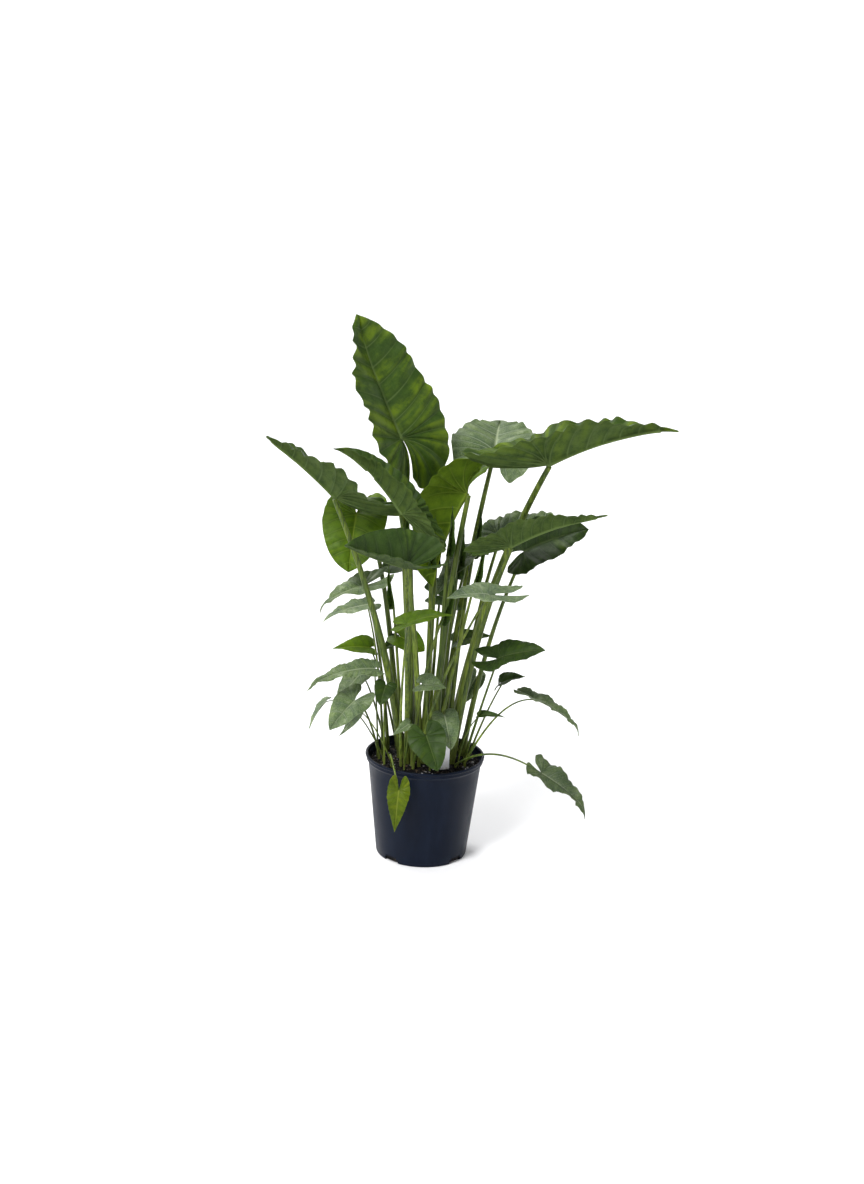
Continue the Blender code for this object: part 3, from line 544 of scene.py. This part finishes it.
def soil_material():
    """Damp near-black compost, with paler crumbs."""
    nodes = Nodes("bark_soil")
    where = nodes.place()
    crumbs = nodes.noise(where, 260.0, 6.0, 0.7)
    grit = nodes.cells(where, 420.0, "F1")
    speck = nodes.add("ShaderNodeSeparateColor", {0: grit}).outputs[0]
    colour = nodes.mix(nodes.fade(crumbs, 0.35, 0.75), (0.0010, 0.0010, 0.0012), (0.0035, 0.0030, 0.0026))
    colour = nodes.mix(nodes.fade(speck, 0.93, 0.97, 0.0, 0.8), colour, (0.120, 0.100, 0.080))
    nodes.bump(crumbs, 0.9, 0.002)
    return nodes.finish(colour, nodes.fade(crumbs, 0.3, 0.7, 0.55, 0.9), gloss=0.12)


def chip_material():
    """Chips of bark with some grit and perlite; each chip has its own shade."""
    nodes = Nodes("soil_chips")
    shade = nodes.read("shade")
    fibres = nodes.noise(nodes.place(), 600.0, 4.0, 0.6)
    colour = nodes.mix(nodes.fade(shade, 0.0, 0.80), (0.0012, 0.0012, 0.0014), (0.0045, 0.0036, 0.0030))
    colour = nodes.mix(nodes.fade(shade, 0.84, 0.86), colour, (0.070, 0.050, 0.032))
    colour = nodes.mix(nodes.fade(shade, 0.93, 0.94), colour, (0.330, 0.330, 0.340))
    colour = nodes.mix(nodes.fade(fibres, 0.45, 0.75, 0.0, 0.5), colour, (0.010, 0.008, 0.007))
    nodes.bump(fibres, 0.6, 0.0008)
    return nodes.finish(colour, nodes.fade(fibres, 0.3, 0.7, 0.40, 0.75), gloss=0.12)


def label_material():
    """Blank white plastic, a little soiled near the soil."""
    nodes = Nodes("label_plastic")
    where = nodes.place()
    smears = nodes.noise(where, 90.0, 5.0, 0.7)
    up = nodes.add("ShaderNodeSeparateXYZ", {0: where}).outputs[2]
    low = nodes.times(nodes.fade(up, SOIL_LEVEL, SOIL_LEVEL + 0.030, 0.7, 0.0), nodes.fade(smears, 0.4, 0.7))
    colour = nodes.mix(low, (0.93, 0.94, 0.95), (0.40, 0.37, 0.32))
    nodes.bump(smears, 0.08, 0.0004)
    return nodes.finish(colour, nodes.fade(smears, 0.3, 0.7, 0.30, 0.45))


def floor_material():
    """The plain pale floor."""
    nodes = Nodes("floor")
    soft = nodes.noise(nodes.place(), 3.0, 2.0)
    return nodes.finish(nodes.mix(nodes.fade(soft, 0.3, 0.7), (0.90, 0.90, 0.91), (0.92, 0.92, 0.93)), 0.7)


def keep(piece, finish, *nodes_it_replaces):
    """Put a finished piece on the plant: it rides on the body and stands for its CAD nodes."""
    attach(piece, BODY)
    if nodes_it_replaces:
        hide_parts(*nodes_it_replaces)
    return piece


def new_piece(name, mesh, *materials):
    """An object for a mesh, in the open scene."""
    piece = bpy.data.objects.new(name, mesh)
    bpy.context.scene.collection.objects.link(piece)
    for material in materials:
        mesh.materials.append(material)
    return piece


def store(mesh, name, values):
    """Store a number for each of the mesh's points."""
    layer = mesh.attributes.new(name, "FLOAT", "POINT")
    layer.data.foreach_set("value", np.asarray(values, np.float32))


def smooth(mesh, sharp=SHARP_ANGLE):
    """Shade a mesh smooth, except where its faces meet at more than an angle, in degrees."""
    mesh.shade_smooth()
    mesh.set_sharp_from_angle(angle=math.radians(sharp))


def smooth_through(points, shares):
    """Points on a smooth curve through the given ones, at shares of the way from first to last."""
    points = np.asarray(points, float)
    place = np.asarray(shares) * (len(points) - 1)
    index = np.minimum(place.astype(int), len(points) - 2)
    t = (place - index)[:, None]
    a, b = points[np.maximum(index - 1, 0)], points[index]
    c, d = points[index + 1], points[np.minimum(index + 2, len(points) - 1)]
    return 0.5 * (2 * b + (c - a) * t + (2 * a - 5 * b + 4 * c - d) * t ** 2
                  + (3 * b - a - 3 * c + d) * t ** 3)


def unit(vectors):
    """Vectors brought to length 1, row by row."""
    lengths = np.linalg.norm(vectors, axis=-1, keepdims=True)
    return vectors / np.maximum(lengths, 1e-12)


def blade_frame(row, x):
    """The midrib's points at shares x of its length, with the directions along, across and up."""
    chord = row.tip - row.heart
    length = np.linalg.norm(chord)
    up = unit(row.faces - chord * (row.faces @ chord) / length ** 2)
    crest = (row.heart + row.tip) / 2 + up * (2 * row.arch * length)
    t = np.maximum(x, 0.0)[..., None]
    along = unit((crest - row.heart) * (1 - t) + (row.tip - crest) * t)
    point = row.heart * (1 - t) ** 2 + crest * (2 * t * (1 - t)) + row.tip * t * t
    up = unit(up - along * (along @ up)[..., None])
    across = np.cross(up, along)
    turn = np.radians(row.twist) * t
    return (
        point - up * (row.hook * length * np.maximum(0, (t - HOOK_START) / (1 - HOOK_START)) ** 2),
        along,
        across * np.cos(turn) + up * np.sin(turn),
        up * np.cos(turn) - across * np.sin(turn),
    )


def flat_outline(row, shares):
    """The flat half outline at those shares: how far forward of the heart and out from the midrib."""
    length = np.linalg.norm(row.tip - row.heart)
    widened = np.array(FULLER) * row.full + np.array(CLOSER) * row.closed
    outline = np.array(HALF_OUTLINE) + np.outer(widened, (0.0, 1.0))
    forward, outward = smooth_through(outline, shares).T
    return np.where(forward > 0, forward * length, forward * row.lobe), outward * row.width / 2


def vein_rows(row, random):
    """The shares of the outline where the rows of points lie, with each one's place between the veins."""
    fine = np.linspace(0, 1, OUTLINE_STEPS)
    forward, outward = flat_outline(row, fine)
    steps = np.hypot(np.diff(forward), np.diff(outward))
    run = np.concatenate(([0.0], np.cumsum(steps)))
    veins = max(LEAST_VEINS, round(run[-1] / (row.veins * row.width)))
    phases = np.array([k + part for k in range(veins) for part in BETWEEN_VEINS] + [veins])
    strays = uneven(random, phases, veins, -VEIN_STRAY, VEIN_STRAY) * np.minimum(1, veins - phases)
    return np.interp(np.maximum(phases + strays, 0) / veins * run[-1], run, fine), phases, veins


def uneven(random, phases, veins, low, high):
    """A number that wanders from vein to vein."""
    return np.interp(phases, np.arange(veins + 2) - 0.5, random.uniform(low, high, veins + 2))


def blade_heights(row, phases, veins, reach, random):
    """How far the sheet stands off its folded plane: quilting, waved margin, slow swells and dome.

    The quilting and the waves calm down towards the tip and the notch.
    """
    part = phases % 1.0
    to_tip = np.clip((veins - phases) / 2.0, 0.0, 1.0)
    from_notch = np.clip(phases / 1.5 + 0.3, 0.0, 1.0)
    calm = (to_tip * from_notch)[:, None]
    size = row.width * uneven(random, phases, veins, 0.7, 1.3)[:, None]
    bulge = (np.sin(np.pi * part) ** 0.8 - 0.55)[:, None]
    quilt = row.quilt * size * bulge * reach ** 0.8 * (1.15 - 0.35 * reach)
    ripple = (-np.cos(2 * np.pi * part))[:, None] * uneven(random, phases, veins, 0.1, 1.5)[:, None]
    slow = np.sin(2 * np.pi * phases / random.uniform(*SLOW_WAVE) + random.uniform(0, 6.28))[:, None]
    share = LARGE_RIPPLE if row.width > LARGE_WIDTH else SMALL_RIPPLE
    wave = row.wave * row.width * (share * ripple + 1.3 * slow) * reach ** 2.6
    dome = row.bow * row.width * (reach - reach ** 2)
    swell = np.sin(2 * np.pi * (phases / random.uniform(*SWELL) + random.uniform(0, 1)))[:, None]
    billow = BILLOW * row.width * swell * np.sin(np.pi * reach ** 0.8)
    return calm * (quilt + wave + billow) + dome


def blade_sheet(row, random):
    """The blade's middle surface, row by row from notch to tip, with what the ribs and veins need."""
    length = np.linalg.norm(row.tip - row.heart)
    shares, phases, veins = vein_rows(row, random)
    forward, outward = flat_outline(row, shares)
    scallop = 1 + 0.35 * row.wave * np.cos(2 * np.pi * (phases % 1.0 - 0.5)) * (phases < veins - 1)
    outward = outward * scallop
    inner = np.clip(forward - VEIN_SLANT * outward, 0.0, length)
    halves = []
    for side, fold in ((-1.0, row.folds[1]), (1.0, row.folds[0])):
        reach = np.array(ACROSS)[None, :]
        x = inner[:, None] + (forward - inner)[:, None] * (reach - VEIN_CURVE * (reach - reach ** 2))
        y = outward[:, None] * reach
        point, along, across, up = blade_frame(row, x / length)
        raised = math.radians(fold)
        out = across * (side * math.cos(raised)) + up * math.sin(raised)
        stand = up * math.cos(raised) - across * (side * math.sin(raised))
        behind = np.minimum(x, 0.0)
        height = blade_heights(row, phases, veins, reach, random)
        sheet = point + along * behind[..., None] + out * y[..., None] + stand * height[..., None]
        sheet = sheet - up * (row.droop * behind ** 2 / row.lobe)[..., None]
        gap = np.abs(phases - np.round(phases))[:, None] * row.veins * row.width
        vein_gap = gap * (reach + (1 - reach) * 0.6 * (inner > 0)[:, None])
        rib_gap = np.where(x > 0, y, np.hypot(x, y))
        own_phase = side * (phases[:, None] + 1.0) + 0 * x
        halves.append((sheet, reach + 0 * x, vein_gap, rib_gap, x / length, own_phase))
    left, right = halves
    return [np.concatenate((a[:, :0:-1], b), axis=1) for a, b in zip(left, right)]


def sheet_normals(sheet):
    """The sheet's normals, mended where its points run together at the heart and the tip."""
    down = np.gradient(sheet, axis=0)
    over = np.gradient(sheet, axis=1)
    normals = np.cross(over, down)
    middle = sheet.shape[1] // 2
    weak = np.linalg.norm(normals, axis=-1) < 1e-10
    normals = unit(normals)
    beside = unit(normals[:, middle - 1] + normals[:, middle + 1])
    normals[:, middle] = beside
    normals[-1] = normals[-2]
    normals[weak] = np.broadcast_to(beside[:, None], normals.shape)[weak]
    return normals


def point_numbers(sheet):
    """A number for each point of the sheet, with one number where points run together."""
    rows, columns, _ = sheet.shape
    numbers = np.arange(rows * columns).reshape(rows, columns)
    middle = columns // 2
    joined = np.linalg.norm(sheet[:, middle] - sheet[0, middle], axis=1) < 1e-9
    numbers[joined, middle] = numbers[0, middle]
    numbers[-1] = numbers[-1, middle]
    return numbers


def closed_faces(numbers, count):
    """Faces of the upper sheet, the under sheet and the thin wall between them, as one closed shell."""
    quads = np.stack((numbers[:-1, :-1], numbers[:-1, 1:], numbers[1:, 1:], numbers[1:, :-1]), -1)
    upper = [list(dict.fromkeys(quad)) for quad in quads.reshape(-1, 4).tolist()]
    upper = [face for face in upper if len(face) > 2]
    under = [[point + count for point in reversed(face)] for face in upper]
    rim = [*numbers[:, -1][::-1], *numbers[0, ::-1][1:], *numbers[:, 0][1:-1]]
    wall = []
    for first, second in zip(rim, [*rim[1:], rim[0]]):
        wall.append([first, second, second + count, first + count])
    return upper, under, wall


def ribs(row, x, reach, rib_gap, vein_gap):
    """The midrib's half width, and how far the midrib and the side ribs stand out underneath."""
    rib = row.neck / 2 * np.clip(1 - x, 0.0, 1.0) ** 0.8 * np.where(x < 0, 0.4, 1.0) + MIDRIB_LEAST
    side_rib = SIDE_RIB_SHARE * row.neck / 2 * (1 - reach) ** 0.7 + SIDE_RIB_LEAST
    ridge = rib * np.sqrt(np.clip(1 - (rib_gap / (1.25 * rib)) ** 2, 0, 1))
    side_ridge = side_rib * np.sqrt(np.clip(1 - (vein_gap / (1.5 * side_rib)) ** 2, 0, 1))
    return rib, np.maximum(ridge, side_ridge)


def make_blade(row, number):
    """One leaf's blade, as a closed shell with ribs underneath."""
    random = np.random.default_rng(100 + number)
    sheet, reach, vein_gap, rib_gap, x, phase = blade_sheet(row, random)
    normals = sheet_normals(sheet)
    chord_up = blade_frame(row, np.array(0.5))[3]
    flip = -1.0 if (normals @ chord_up).mean() < 0 else 1.0
    normals = normals * flip
    rib, ridge = ribs(row, x, reach, rib_gap, vein_gap)
    upper = sheet + normals * (BLADE_HALF - 0.25 * ridge)[..., None]
    under = sheet - normals * (BLADE_HALF + ridge)[..., None]
    numbers = point_numbers(sheet)
    count = numbers.size
    top, bottom, wall = closed_faces(numbers, count)
    name = row.name + "_leaf"
    mesh = bpy.data.meshes.new(name)
    points = np.concatenate((upper.reshape(-1, 3), under.reshape(-1, 3)))
    points[:, 2] += SOIL_LEVEL
    mesh.from_pydata(points.tolist(), [], top + bottom + wall)
    rib_share = np.clip(1.15 - rib_gap / (0.9 * rib + 0.0003), 0.0, 1.0)
    vein_share = vein_gap / row.width
    shown = {"reach": reach, "vein_share": vein_share, "rib_share": rib_share, "phase": phase + 30 * number}
    for key, values in shown.items():
        store(mesh, key, np.tile(values.reshape(-1), 2))
    slots = np.concatenate((np.zeros(len(top)), np.ones(len(bottom)), np.zeros(len(wall))))
    mesh.polygons.foreach_set("material_index", slots.astype(np.int32))
    bm = bmesh.new()
    bm.from_mesh(mesh)
    bmesh.ops.delete(bm, geom=[vert for vert in bm.verts if not vert.link_faces], context="VERTS")
    bmesh.ops.recalc_face_normals(bm, faces=bm.faces)
    bm.to_mesh(mesh)
    bm.free()
    smooth(mesh)
    piece = new_piece(name, mesh, blade_finish(row.tone, False, row.glow, row.dim),
                      blade_finish(row.tone, True, row.glow, row.dim))
    return keep(piece, "leaf_" + row.tone, *([] if row.extra else [row.name + "_blade"]))


FINISHES = {}


def blade_finish(*key):
    """The blade material for a tone, a side, a glow and a dimming, made once."""
    if key not in FINISHES:
        FINISHES[key] = blade_material(*key)
    return FINISHES[key]


def stalk_route(row):
    """The stalk's centre line: up out of its socket, along its bend and a little way along the midrib."""
    _, along, _, up = blade_frame(row, np.array(0.0))
    arrive = unit(row.heart - row.bend)
    slope = math.sqrt(max(0.0, 1 - (arrive @ up) ** 2))
    end = row.heart - up * (BLADE_HALF + slope * row.neck / 2)
    start = row.foot + np.array((0.0, 0.0, STALK_RISE))
    t = np.linspace(0, 1, STALK_RINGS)[:, None]
    curve = start * (1 - t) ** 2 + row.bend * (2 * t * (1 - t)) + end * t * t
    return np.concatenate(([row.foot - np.array((0.0, 0.0, SOCKET_DEPTH * 0.9))], curve))


def make_stalk(row, finish, own):
    """One leaf's stalk: it thins upwards, and is grooved on its inner side, deepest near the soil."""
    route = stalk_route(row)
    rings = len(route)
    grown = np.clip((np.arange(rings) - 1) / (rings - 2), 0.0, 1.0)
    radius = row.girth / 2 * (1 + (row.neck / row.girth - 1) * grown ** STALK_TAPER)
    tangents = unit(np.gradient(route, axis=0))
    inward = unit(-row.foot * (1, 1, 0) + np.array((1e-4, 0.0, 0.0)))
    turns = np.arange(STALK_SIDES) / STALK_SIDES * 2 * math.pi
    near = np.minimum(turns, 2 * math.pi - turns)
    channel = np.exp(-(near / GROOVE_WIDTH) ** 2)
    ridges = RIDGE_HEIGHT * np.cos(turns * RIDGE_COUNT)
    points, groove = [], []
    for place, tangent, size, share in zip(route, tangents, radius, grown):
        side = unit(inward - tangent * (inward @ tangent))
        other = np.cross(tangent, side)
        depth = GROOVE_FOOT * (1 - share) ** 1.4 + GROOVE_TOP
        spread = size * (1 + ridges - depth * channel)
        ring = place + np.outer(spread * np.cos(turns), side) + np.outer(spread * np.sin(turns), other)
        points.append(ring)
        groove.append(channel * min(1.0, 2 * depth))
    points = np.concatenate(points)
    points[:, 2] += SOIL_LEVEL
    faces = []
    for ring in range(rings - 1):
        for step in range(STALK_SIDES):
            first, second = ring * STALK_SIDES + step, ring * STALK_SIDES + (step + 1) % STALK_SIDES
            faces.append((first, second, second + STALK_SIDES, first + STALK_SIDES))
    faces.append(tuple(range(STALK_SIDES))[::-1])
    faces.append(tuple(range((rings - 1) * STALK_SIDES, rings * STALK_SIDES)))
    name = row.name + "_petiole"
    mesh = bpy.data.meshes.new(name)
    mesh.from_pydata(points.tolist(), [], faces)
    smooth(mesh)
    store(mesh, "groove", np.concatenate(groove))
    store(mesh, "up", np.repeat(grown, STALK_SIDES))
    store(mesh, "own", np.full(len(points), own))
    return keep(new_piece(name, mesh, finish), "stalk", *([] if row.extra else [row.name + "_stalk"]))


def turned_mesh(name, profile, steps):
    """A closed mesh turned round Z from (radius, height) points that start and end on the axis."""
    bm = bmesh.new()
    ring = [bm.verts.new((radius, 0.0, height)) for radius, height in profile]
    edges = [bm.edges.new(pair) for pair in zip(ring, ring[1:])]
    bmesh.ops.spin(bm, geom=[*ring, *edges], cent=(0, 0, 0), axis=(0, 0, 1), angle=2 * math.pi,
                   steps=steps, use_merge=True)
    bmesh.ops.remove_doubles(bm, verts=bm.verts, dist=0.00005)
    bmesh.ops.recalc_face_normals(bm, faces=bm.faces)
    mesh = bpy.data.meshes.new(name)
    bm.to_mesh(mesh)
    bm.free()
    return mesh


def arc(centre, radius, start, end, parts):
    """Points along an arc in a profile, in degrees from the outward direction."""
    angles = np.radians(np.linspace(start, end, parts + 1))
    return [(centre[0] + radius * math.cos(a), centre[1] + radius * math.sin(a)) for a in angles]


def wall_radius(height):
    """The pot's outer radius below its lip, at a height."""
    share = min(height / (POT_HEIGHT - LIP_HEIGHT), 1.0)
    return BASE_RADIUS + (RIM_RADIUS - LIP_STEP - BASE_RADIUS) * share


def pot_profile():
    """The pot's section, from the middle of its floor up the inside and down the outside."""
    lip_foot = POT_HEIGHT - LIP_HEIGHT
    bead = (RIM_RADIUS - BEAD_RADIUS, POT_HEIGHT - BEAD_RADIUS)
    band = RIM_RADIUS - BAND_INSET
    inside = [(0.0, POT_FLOOR), (wall_radius(POT_FLOOR) - POT_WALL, POT_FLOOR),
              (wall_radius(lip_foot) - POT_WALL, lip_foot), (band - POT_WALL, lip_foot + LIP_STEP),
              (band - POT_WALL, bead[1] - BEAD_RADIUS)]
    outside = [(band, bead[1] - 2 * BEAD_RADIUS), (band + BAND_SWELL, lip_foot + 0.006)]
    outside += arc((band - LIP_ROUND, lip_foot + LIP_STEP / 2 + LIP_ROUND), LIP_ROUND, 0, -80, 5)
    outside += [(wall_radius(lip_foot) + 0.0006, lip_foot), (wall_radius(lip_foot - 0.002), lip_foot - 0.002)]
    outside += [(wall_radius(height), height) for height in np.linspace(lip_foot - 0.02, 0.004, 10)]
    outside += arc((BASE_RADIUS - FOOT_ROUND, FOOT_ROUND), FOOT_ROUND, 0, -90, 5)
    return inside + arc(bead, BEAD_RADIUS, 150, -70, 14) + outside + [(0.0, 0.0)]


def drain_cutter(turn, cutters):
    """A block with rounded edges that cuts one drain opening, at a turn from +X."""
    bm = bmesh.new()
    bmesh.ops.create_cube(bm, size=1.0)
    bmesh.ops.scale(bm, vec=(2 * DRAIN_REACH, DRAIN_WIDTH, 2 * DRAIN_HEIGHT), verts=bm.verts)
    bmesh.ops.bevel(bm, geom=list(bm.edges), offset=DRAIN_ROUND, segments=5, affect="EDGES")
    mesh = bpy.data.meshes.new("drain_cutter")
    bm.to_mesh(mesh)
    bm.free()
    cutter = bpy.data.objects.new("drain_cutter", mesh)
    cutters.objects.link(cutter)
    cutter.location = (BASE_RADIUS * math.cos(turn), BASE_RADIUS * math.sin(turn), 0.0)
    cutter.rotation_euler = (0.0, 0.0, turn)


def make_pot():
    """The pot, round and smooth, with its drain openings cut through the foot."""
    pot = new_piece("pot_shell", turned_mesh("pot_shell", pot_profile(), POT_STEPS), pot_material())
    cutters = bpy.data.collections.new("drain_cutters")
    bpy.context.scene.collection.children.link(cutters)
    for index in range(DRAIN_COUNT):
        drain_cutter(DRAIN_FIRST + 2 * math.pi * index / DRAIN_COUNT, cutters)
    cut = pot.modifiers.new("drains", "BOOLEAN")
    cut.operand_type = "COLLECTION"
    cut.collection = cutters
    apply_modifiers(pot)
    for cutter in list(cutters.objects):
        bpy.data.objects.remove(cutter, do_unlink=True)
    bpy.data.collections.remove(cutters)
    smooth(pot.data, POT_SHARP)
    return keep(pot, "pot_plastic", "pot")


def apply_modifiers(piece):
    """Make an object's evaluated shape its own mesh."""
    bpy.context.view_layer.update()
    seen = piece.evaluated_get(bpy.context.evaluated_depsgraph_get())
    mesh = bpy.data.meshes.new_from_object(seen)
    piece.modifiers.clear()
    piece.data = mesh


def soil_height(x, y):
    """The height of the soil's surface: low mounds and hollows over a gentle crown."""
    out = np.hypot(x, y) / SOIL_RADIUS
    mounds = np.sin(61 * x + 1.3) * np.sin(53 * y + 0.4) + 0.6 * np.sin(137 * x - 89 * y + 2.0)
    mounds = mounds + 0.4 * np.sin(231 * y + 170 * x)
    edge = np.clip((1 - out) / 0.08, 0.0, 1.0)
    return SOIL_LEVEL + SOIL_CROWN * (1 - out ** 2) + SOIL_ROUGH * mounds * edge - SOIL_SINK


def make_soil():
    """The soil: a closed plug whose top is uneven."""
    top = [(SOIL_RADIUS * share, SOIL_LEVEL) for share in np.linspace(0, 1, SOIL_RINGS)]
    bottom = [(wall_radius(POT_FLOOR) - POT_WALL - GAP, POT_FLOOR + GAP), (0.0, POT_FLOOR + GAP)]
    mesh = turned_mesh("soil_body", top + bottom, SOIL_STEPS)
    for vert in mesh.vertices:
        if abs(vert.co.z - SOIL_LEVEL) < 1e-6:
            vert.co.z = soil_height(vert.co.x, vert.co.y)
    smooth(mesh)
    return keep(new_piece("soil_body", mesh, soil_material()), "bark_soil", "soil")


def make_chips():
    """Loose chips of bark, grit and perlite, each a small rough closed body."""
    random = np.random.default_rng(7)
    bm = bmesh.new()
    bmesh.ops.create_icosphere(bm, subdivisions=1, radius=1.0)
    shape = np.array([vert.co for vert in bm.verts])
    template = np.array([[vert.index for vert in face.verts] for face in bm.faces])
    bm.free()
    points, faces, shades = [], [], []
    for index in range(CHIP_COUNT):
        out = SOIL_RADIUS * CHIP_REACH * math.sqrt(random.uniform())
        turn = random.uniform(0, 2 * math.pi)
        centre = np.array((out * math.cos(turn), out * math.sin(turn), 0.0))
        size = random.uniform(*CHIP_SIZES) * random.uniform(0.5, 1.0)
        stretch = size * np.array((1.0, random.uniform(0.4, 0.8), random.uniform(0.22, 0.5)))
        lean = Matrix.Rotation(random.normal(0, CHIP_LEAN), 3, "X")
        spin = Matrix.Rotation(random.uniform(0, 2 * math.pi), 3, "Z") @ lean
        rough = shape * stretch * random.uniform(0.75, 1.25, shape.shape)
        centre[2] = soil_height(centre[0], centre[1]) + 0.3 * stretch[2]
        placed = rough @ np.array(spin).T + centre
        placed[:, :2] *= np.minimum(1, SOIL_RADIUS / np.maximum(np.hypot(*placed[:, :2].T), 1e-9))[:, None]
        points.append(placed)
        faces.append(template + index * len(shape))
        shades.append(np.full(len(shape), random.uniform()))
    mesh = bpy.data.meshes.new("soil_chips")
    mesh.from_pydata(np.concatenate(points).tolist(), [], np.concatenate(faces).tolist())
    store(mesh, "shade", np.concatenate(shades))
    return keep(new_piece("soil_chips", mesh, chip_material()), "bark_soil")


def make_label():
    """The blank label: a slim strip with rounded upper corners and a pointed foot, bowed a little."""
    half = LABEL_WIDTH / 2
    corner = (half - LABEL_ROUND, LABEL_STAND - LABEL_ROUND)
    right = arc(corner, LABEL_ROUND, 0, 90, 6)
    left = [(-x, z) for x, z in reversed(right)]
    side = [(half, z) for z in np.linspace(LABEL_POINT - LABEL_DEPTH, corner[1], 14)[:-1]]
    other = [(-x, z) for x, z in reversed(side)]
    outline = [(0.0, -LABEL_DEPTH), *side, *right, *left, *other]
    bm = bmesh.new()
    face = bm.faces.new([bm.verts.new((x, -LABEL_THICKNESS / 2, z)) for x, z in outline])
    made = bmesh.ops.extrude_face_region(bm, geom=[face])
    back = [item for item in made["geom"] if isinstance(item, bmesh.types.BMVert)]
    bmesh.ops.translate(bm, vec=(0.0, LABEL_THICKNESS, 0.0), verts=back)
    bmesh.ops.recalc_face_normals(bm, faces=bm.faces)
    for vert in bm.verts:
        vert.co.y += LABEL_BOW * max(0.0, vert.co.z / LABEL_STAND) ** 2
        vert.co.x += LABEL_PLACE[0]
        vert.co.y += LABEL_PLACE[1]
        vert.co.z += SOIL_LEVEL
    mesh = bpy.data.meshes.new("label_strip")
    bm.to_mesh(mesh)
    bm.free()
    return keep(new_piece("label_strip", mesh, label_material()), "label_plastic", "plant_label")


def make_floor():
    """The plain pale floor and the round backdrop it rises into, which aren't part of the plant."""
    turns = np.radians(np.linspace(0, 90, 17))
    rise = [(FLOOR_REACH + BACKDROP_BEND * math.sin(a), BACKDROP_BEND * (1 - math.cos(a))) for a in turns]
    profile = [(0.0, 0.0), *rise, (FLOOR_REACH + BACKDROP_BEND, BACKDROP_TOP)]
    mesh = turned_mesh("floor", [(out, up - FLOOR_DROP) for out, up in profile], 96)
    mesh.flip_normals()
    mesh.shade_smooth()
    new_piece("floor", mesh, floor_material())


def sun_light(name, place, strength, spread):
    """Soft light from one side, from a place towards the origin."""
    data = bpy.data.lights.new(name, "SUN")
    data.energy = strength
    data.angle = spread
    light = bpy.data.objects.new(name, data)
    bpy.context.scene.collection.objects.link(light)
    light.location = place
    light.rotation_euler = (-light.location).to_track_quat("-Z", "Y").to_euler()


def make_lights():
    """A white studio: soft light all round, a key from the upper left and a weaker one from behind."""
    world = bpy.data.worlds.new("studio")
    world.use_nodes = True
    world.node_tree.nodes["Background"].inputs["Color"].default_value = (1.0, 1.0, 1.0, 1.0)
    world.node_tree.nodes["Background"].inputs["Strength"].default_value = WORLD_STRENGTH
    bpy.context.scene.world = world
    sun_light("key", KEY_PLACE, KEY_STRENGTH, KEY_SPREAD)
    sun_light("back", BACK_PLACE, BACK_STRENGTH, BACK_SPREAD)
    bpy.context.scene.view_settings.view_transform = "Standard"


def make_camera():
    """The camera: 1.57 m up, 3.6 m in front of the pot, looking down and turned a little."""
    data = bpy.data.cameras.new("camera")
    data.lens = CAMERA_LENS
    camera = bpy.data.objects.new("camera", data)
    bpy.context.scene.collection.objects.link(camera)
    look = Matrix.Rotation(math.radians(90) - CAMERA_PITCH, 4, "X") @ Matrix.Rotation(CAMERA_ROLL, 4, "Z")
    camera.matrix_world = Matrix.Translation(CAMERA_PLACE) @ look
    bpy.context.scene.camera = camera


def main():
    """Build everything round the frame."""
    make_camera()
    make_floor()
    make_lights()
    make_pot()
    make_soil()
    make_chips()
    make_label()
    stalk = stalk_material()
    for number, row in enumerate(LEAVES + SMALL_LEAVES):
        make_blade(row, number)
        make_stalk(row, stalk, SHADE_STEP * number % 1.0)


main()
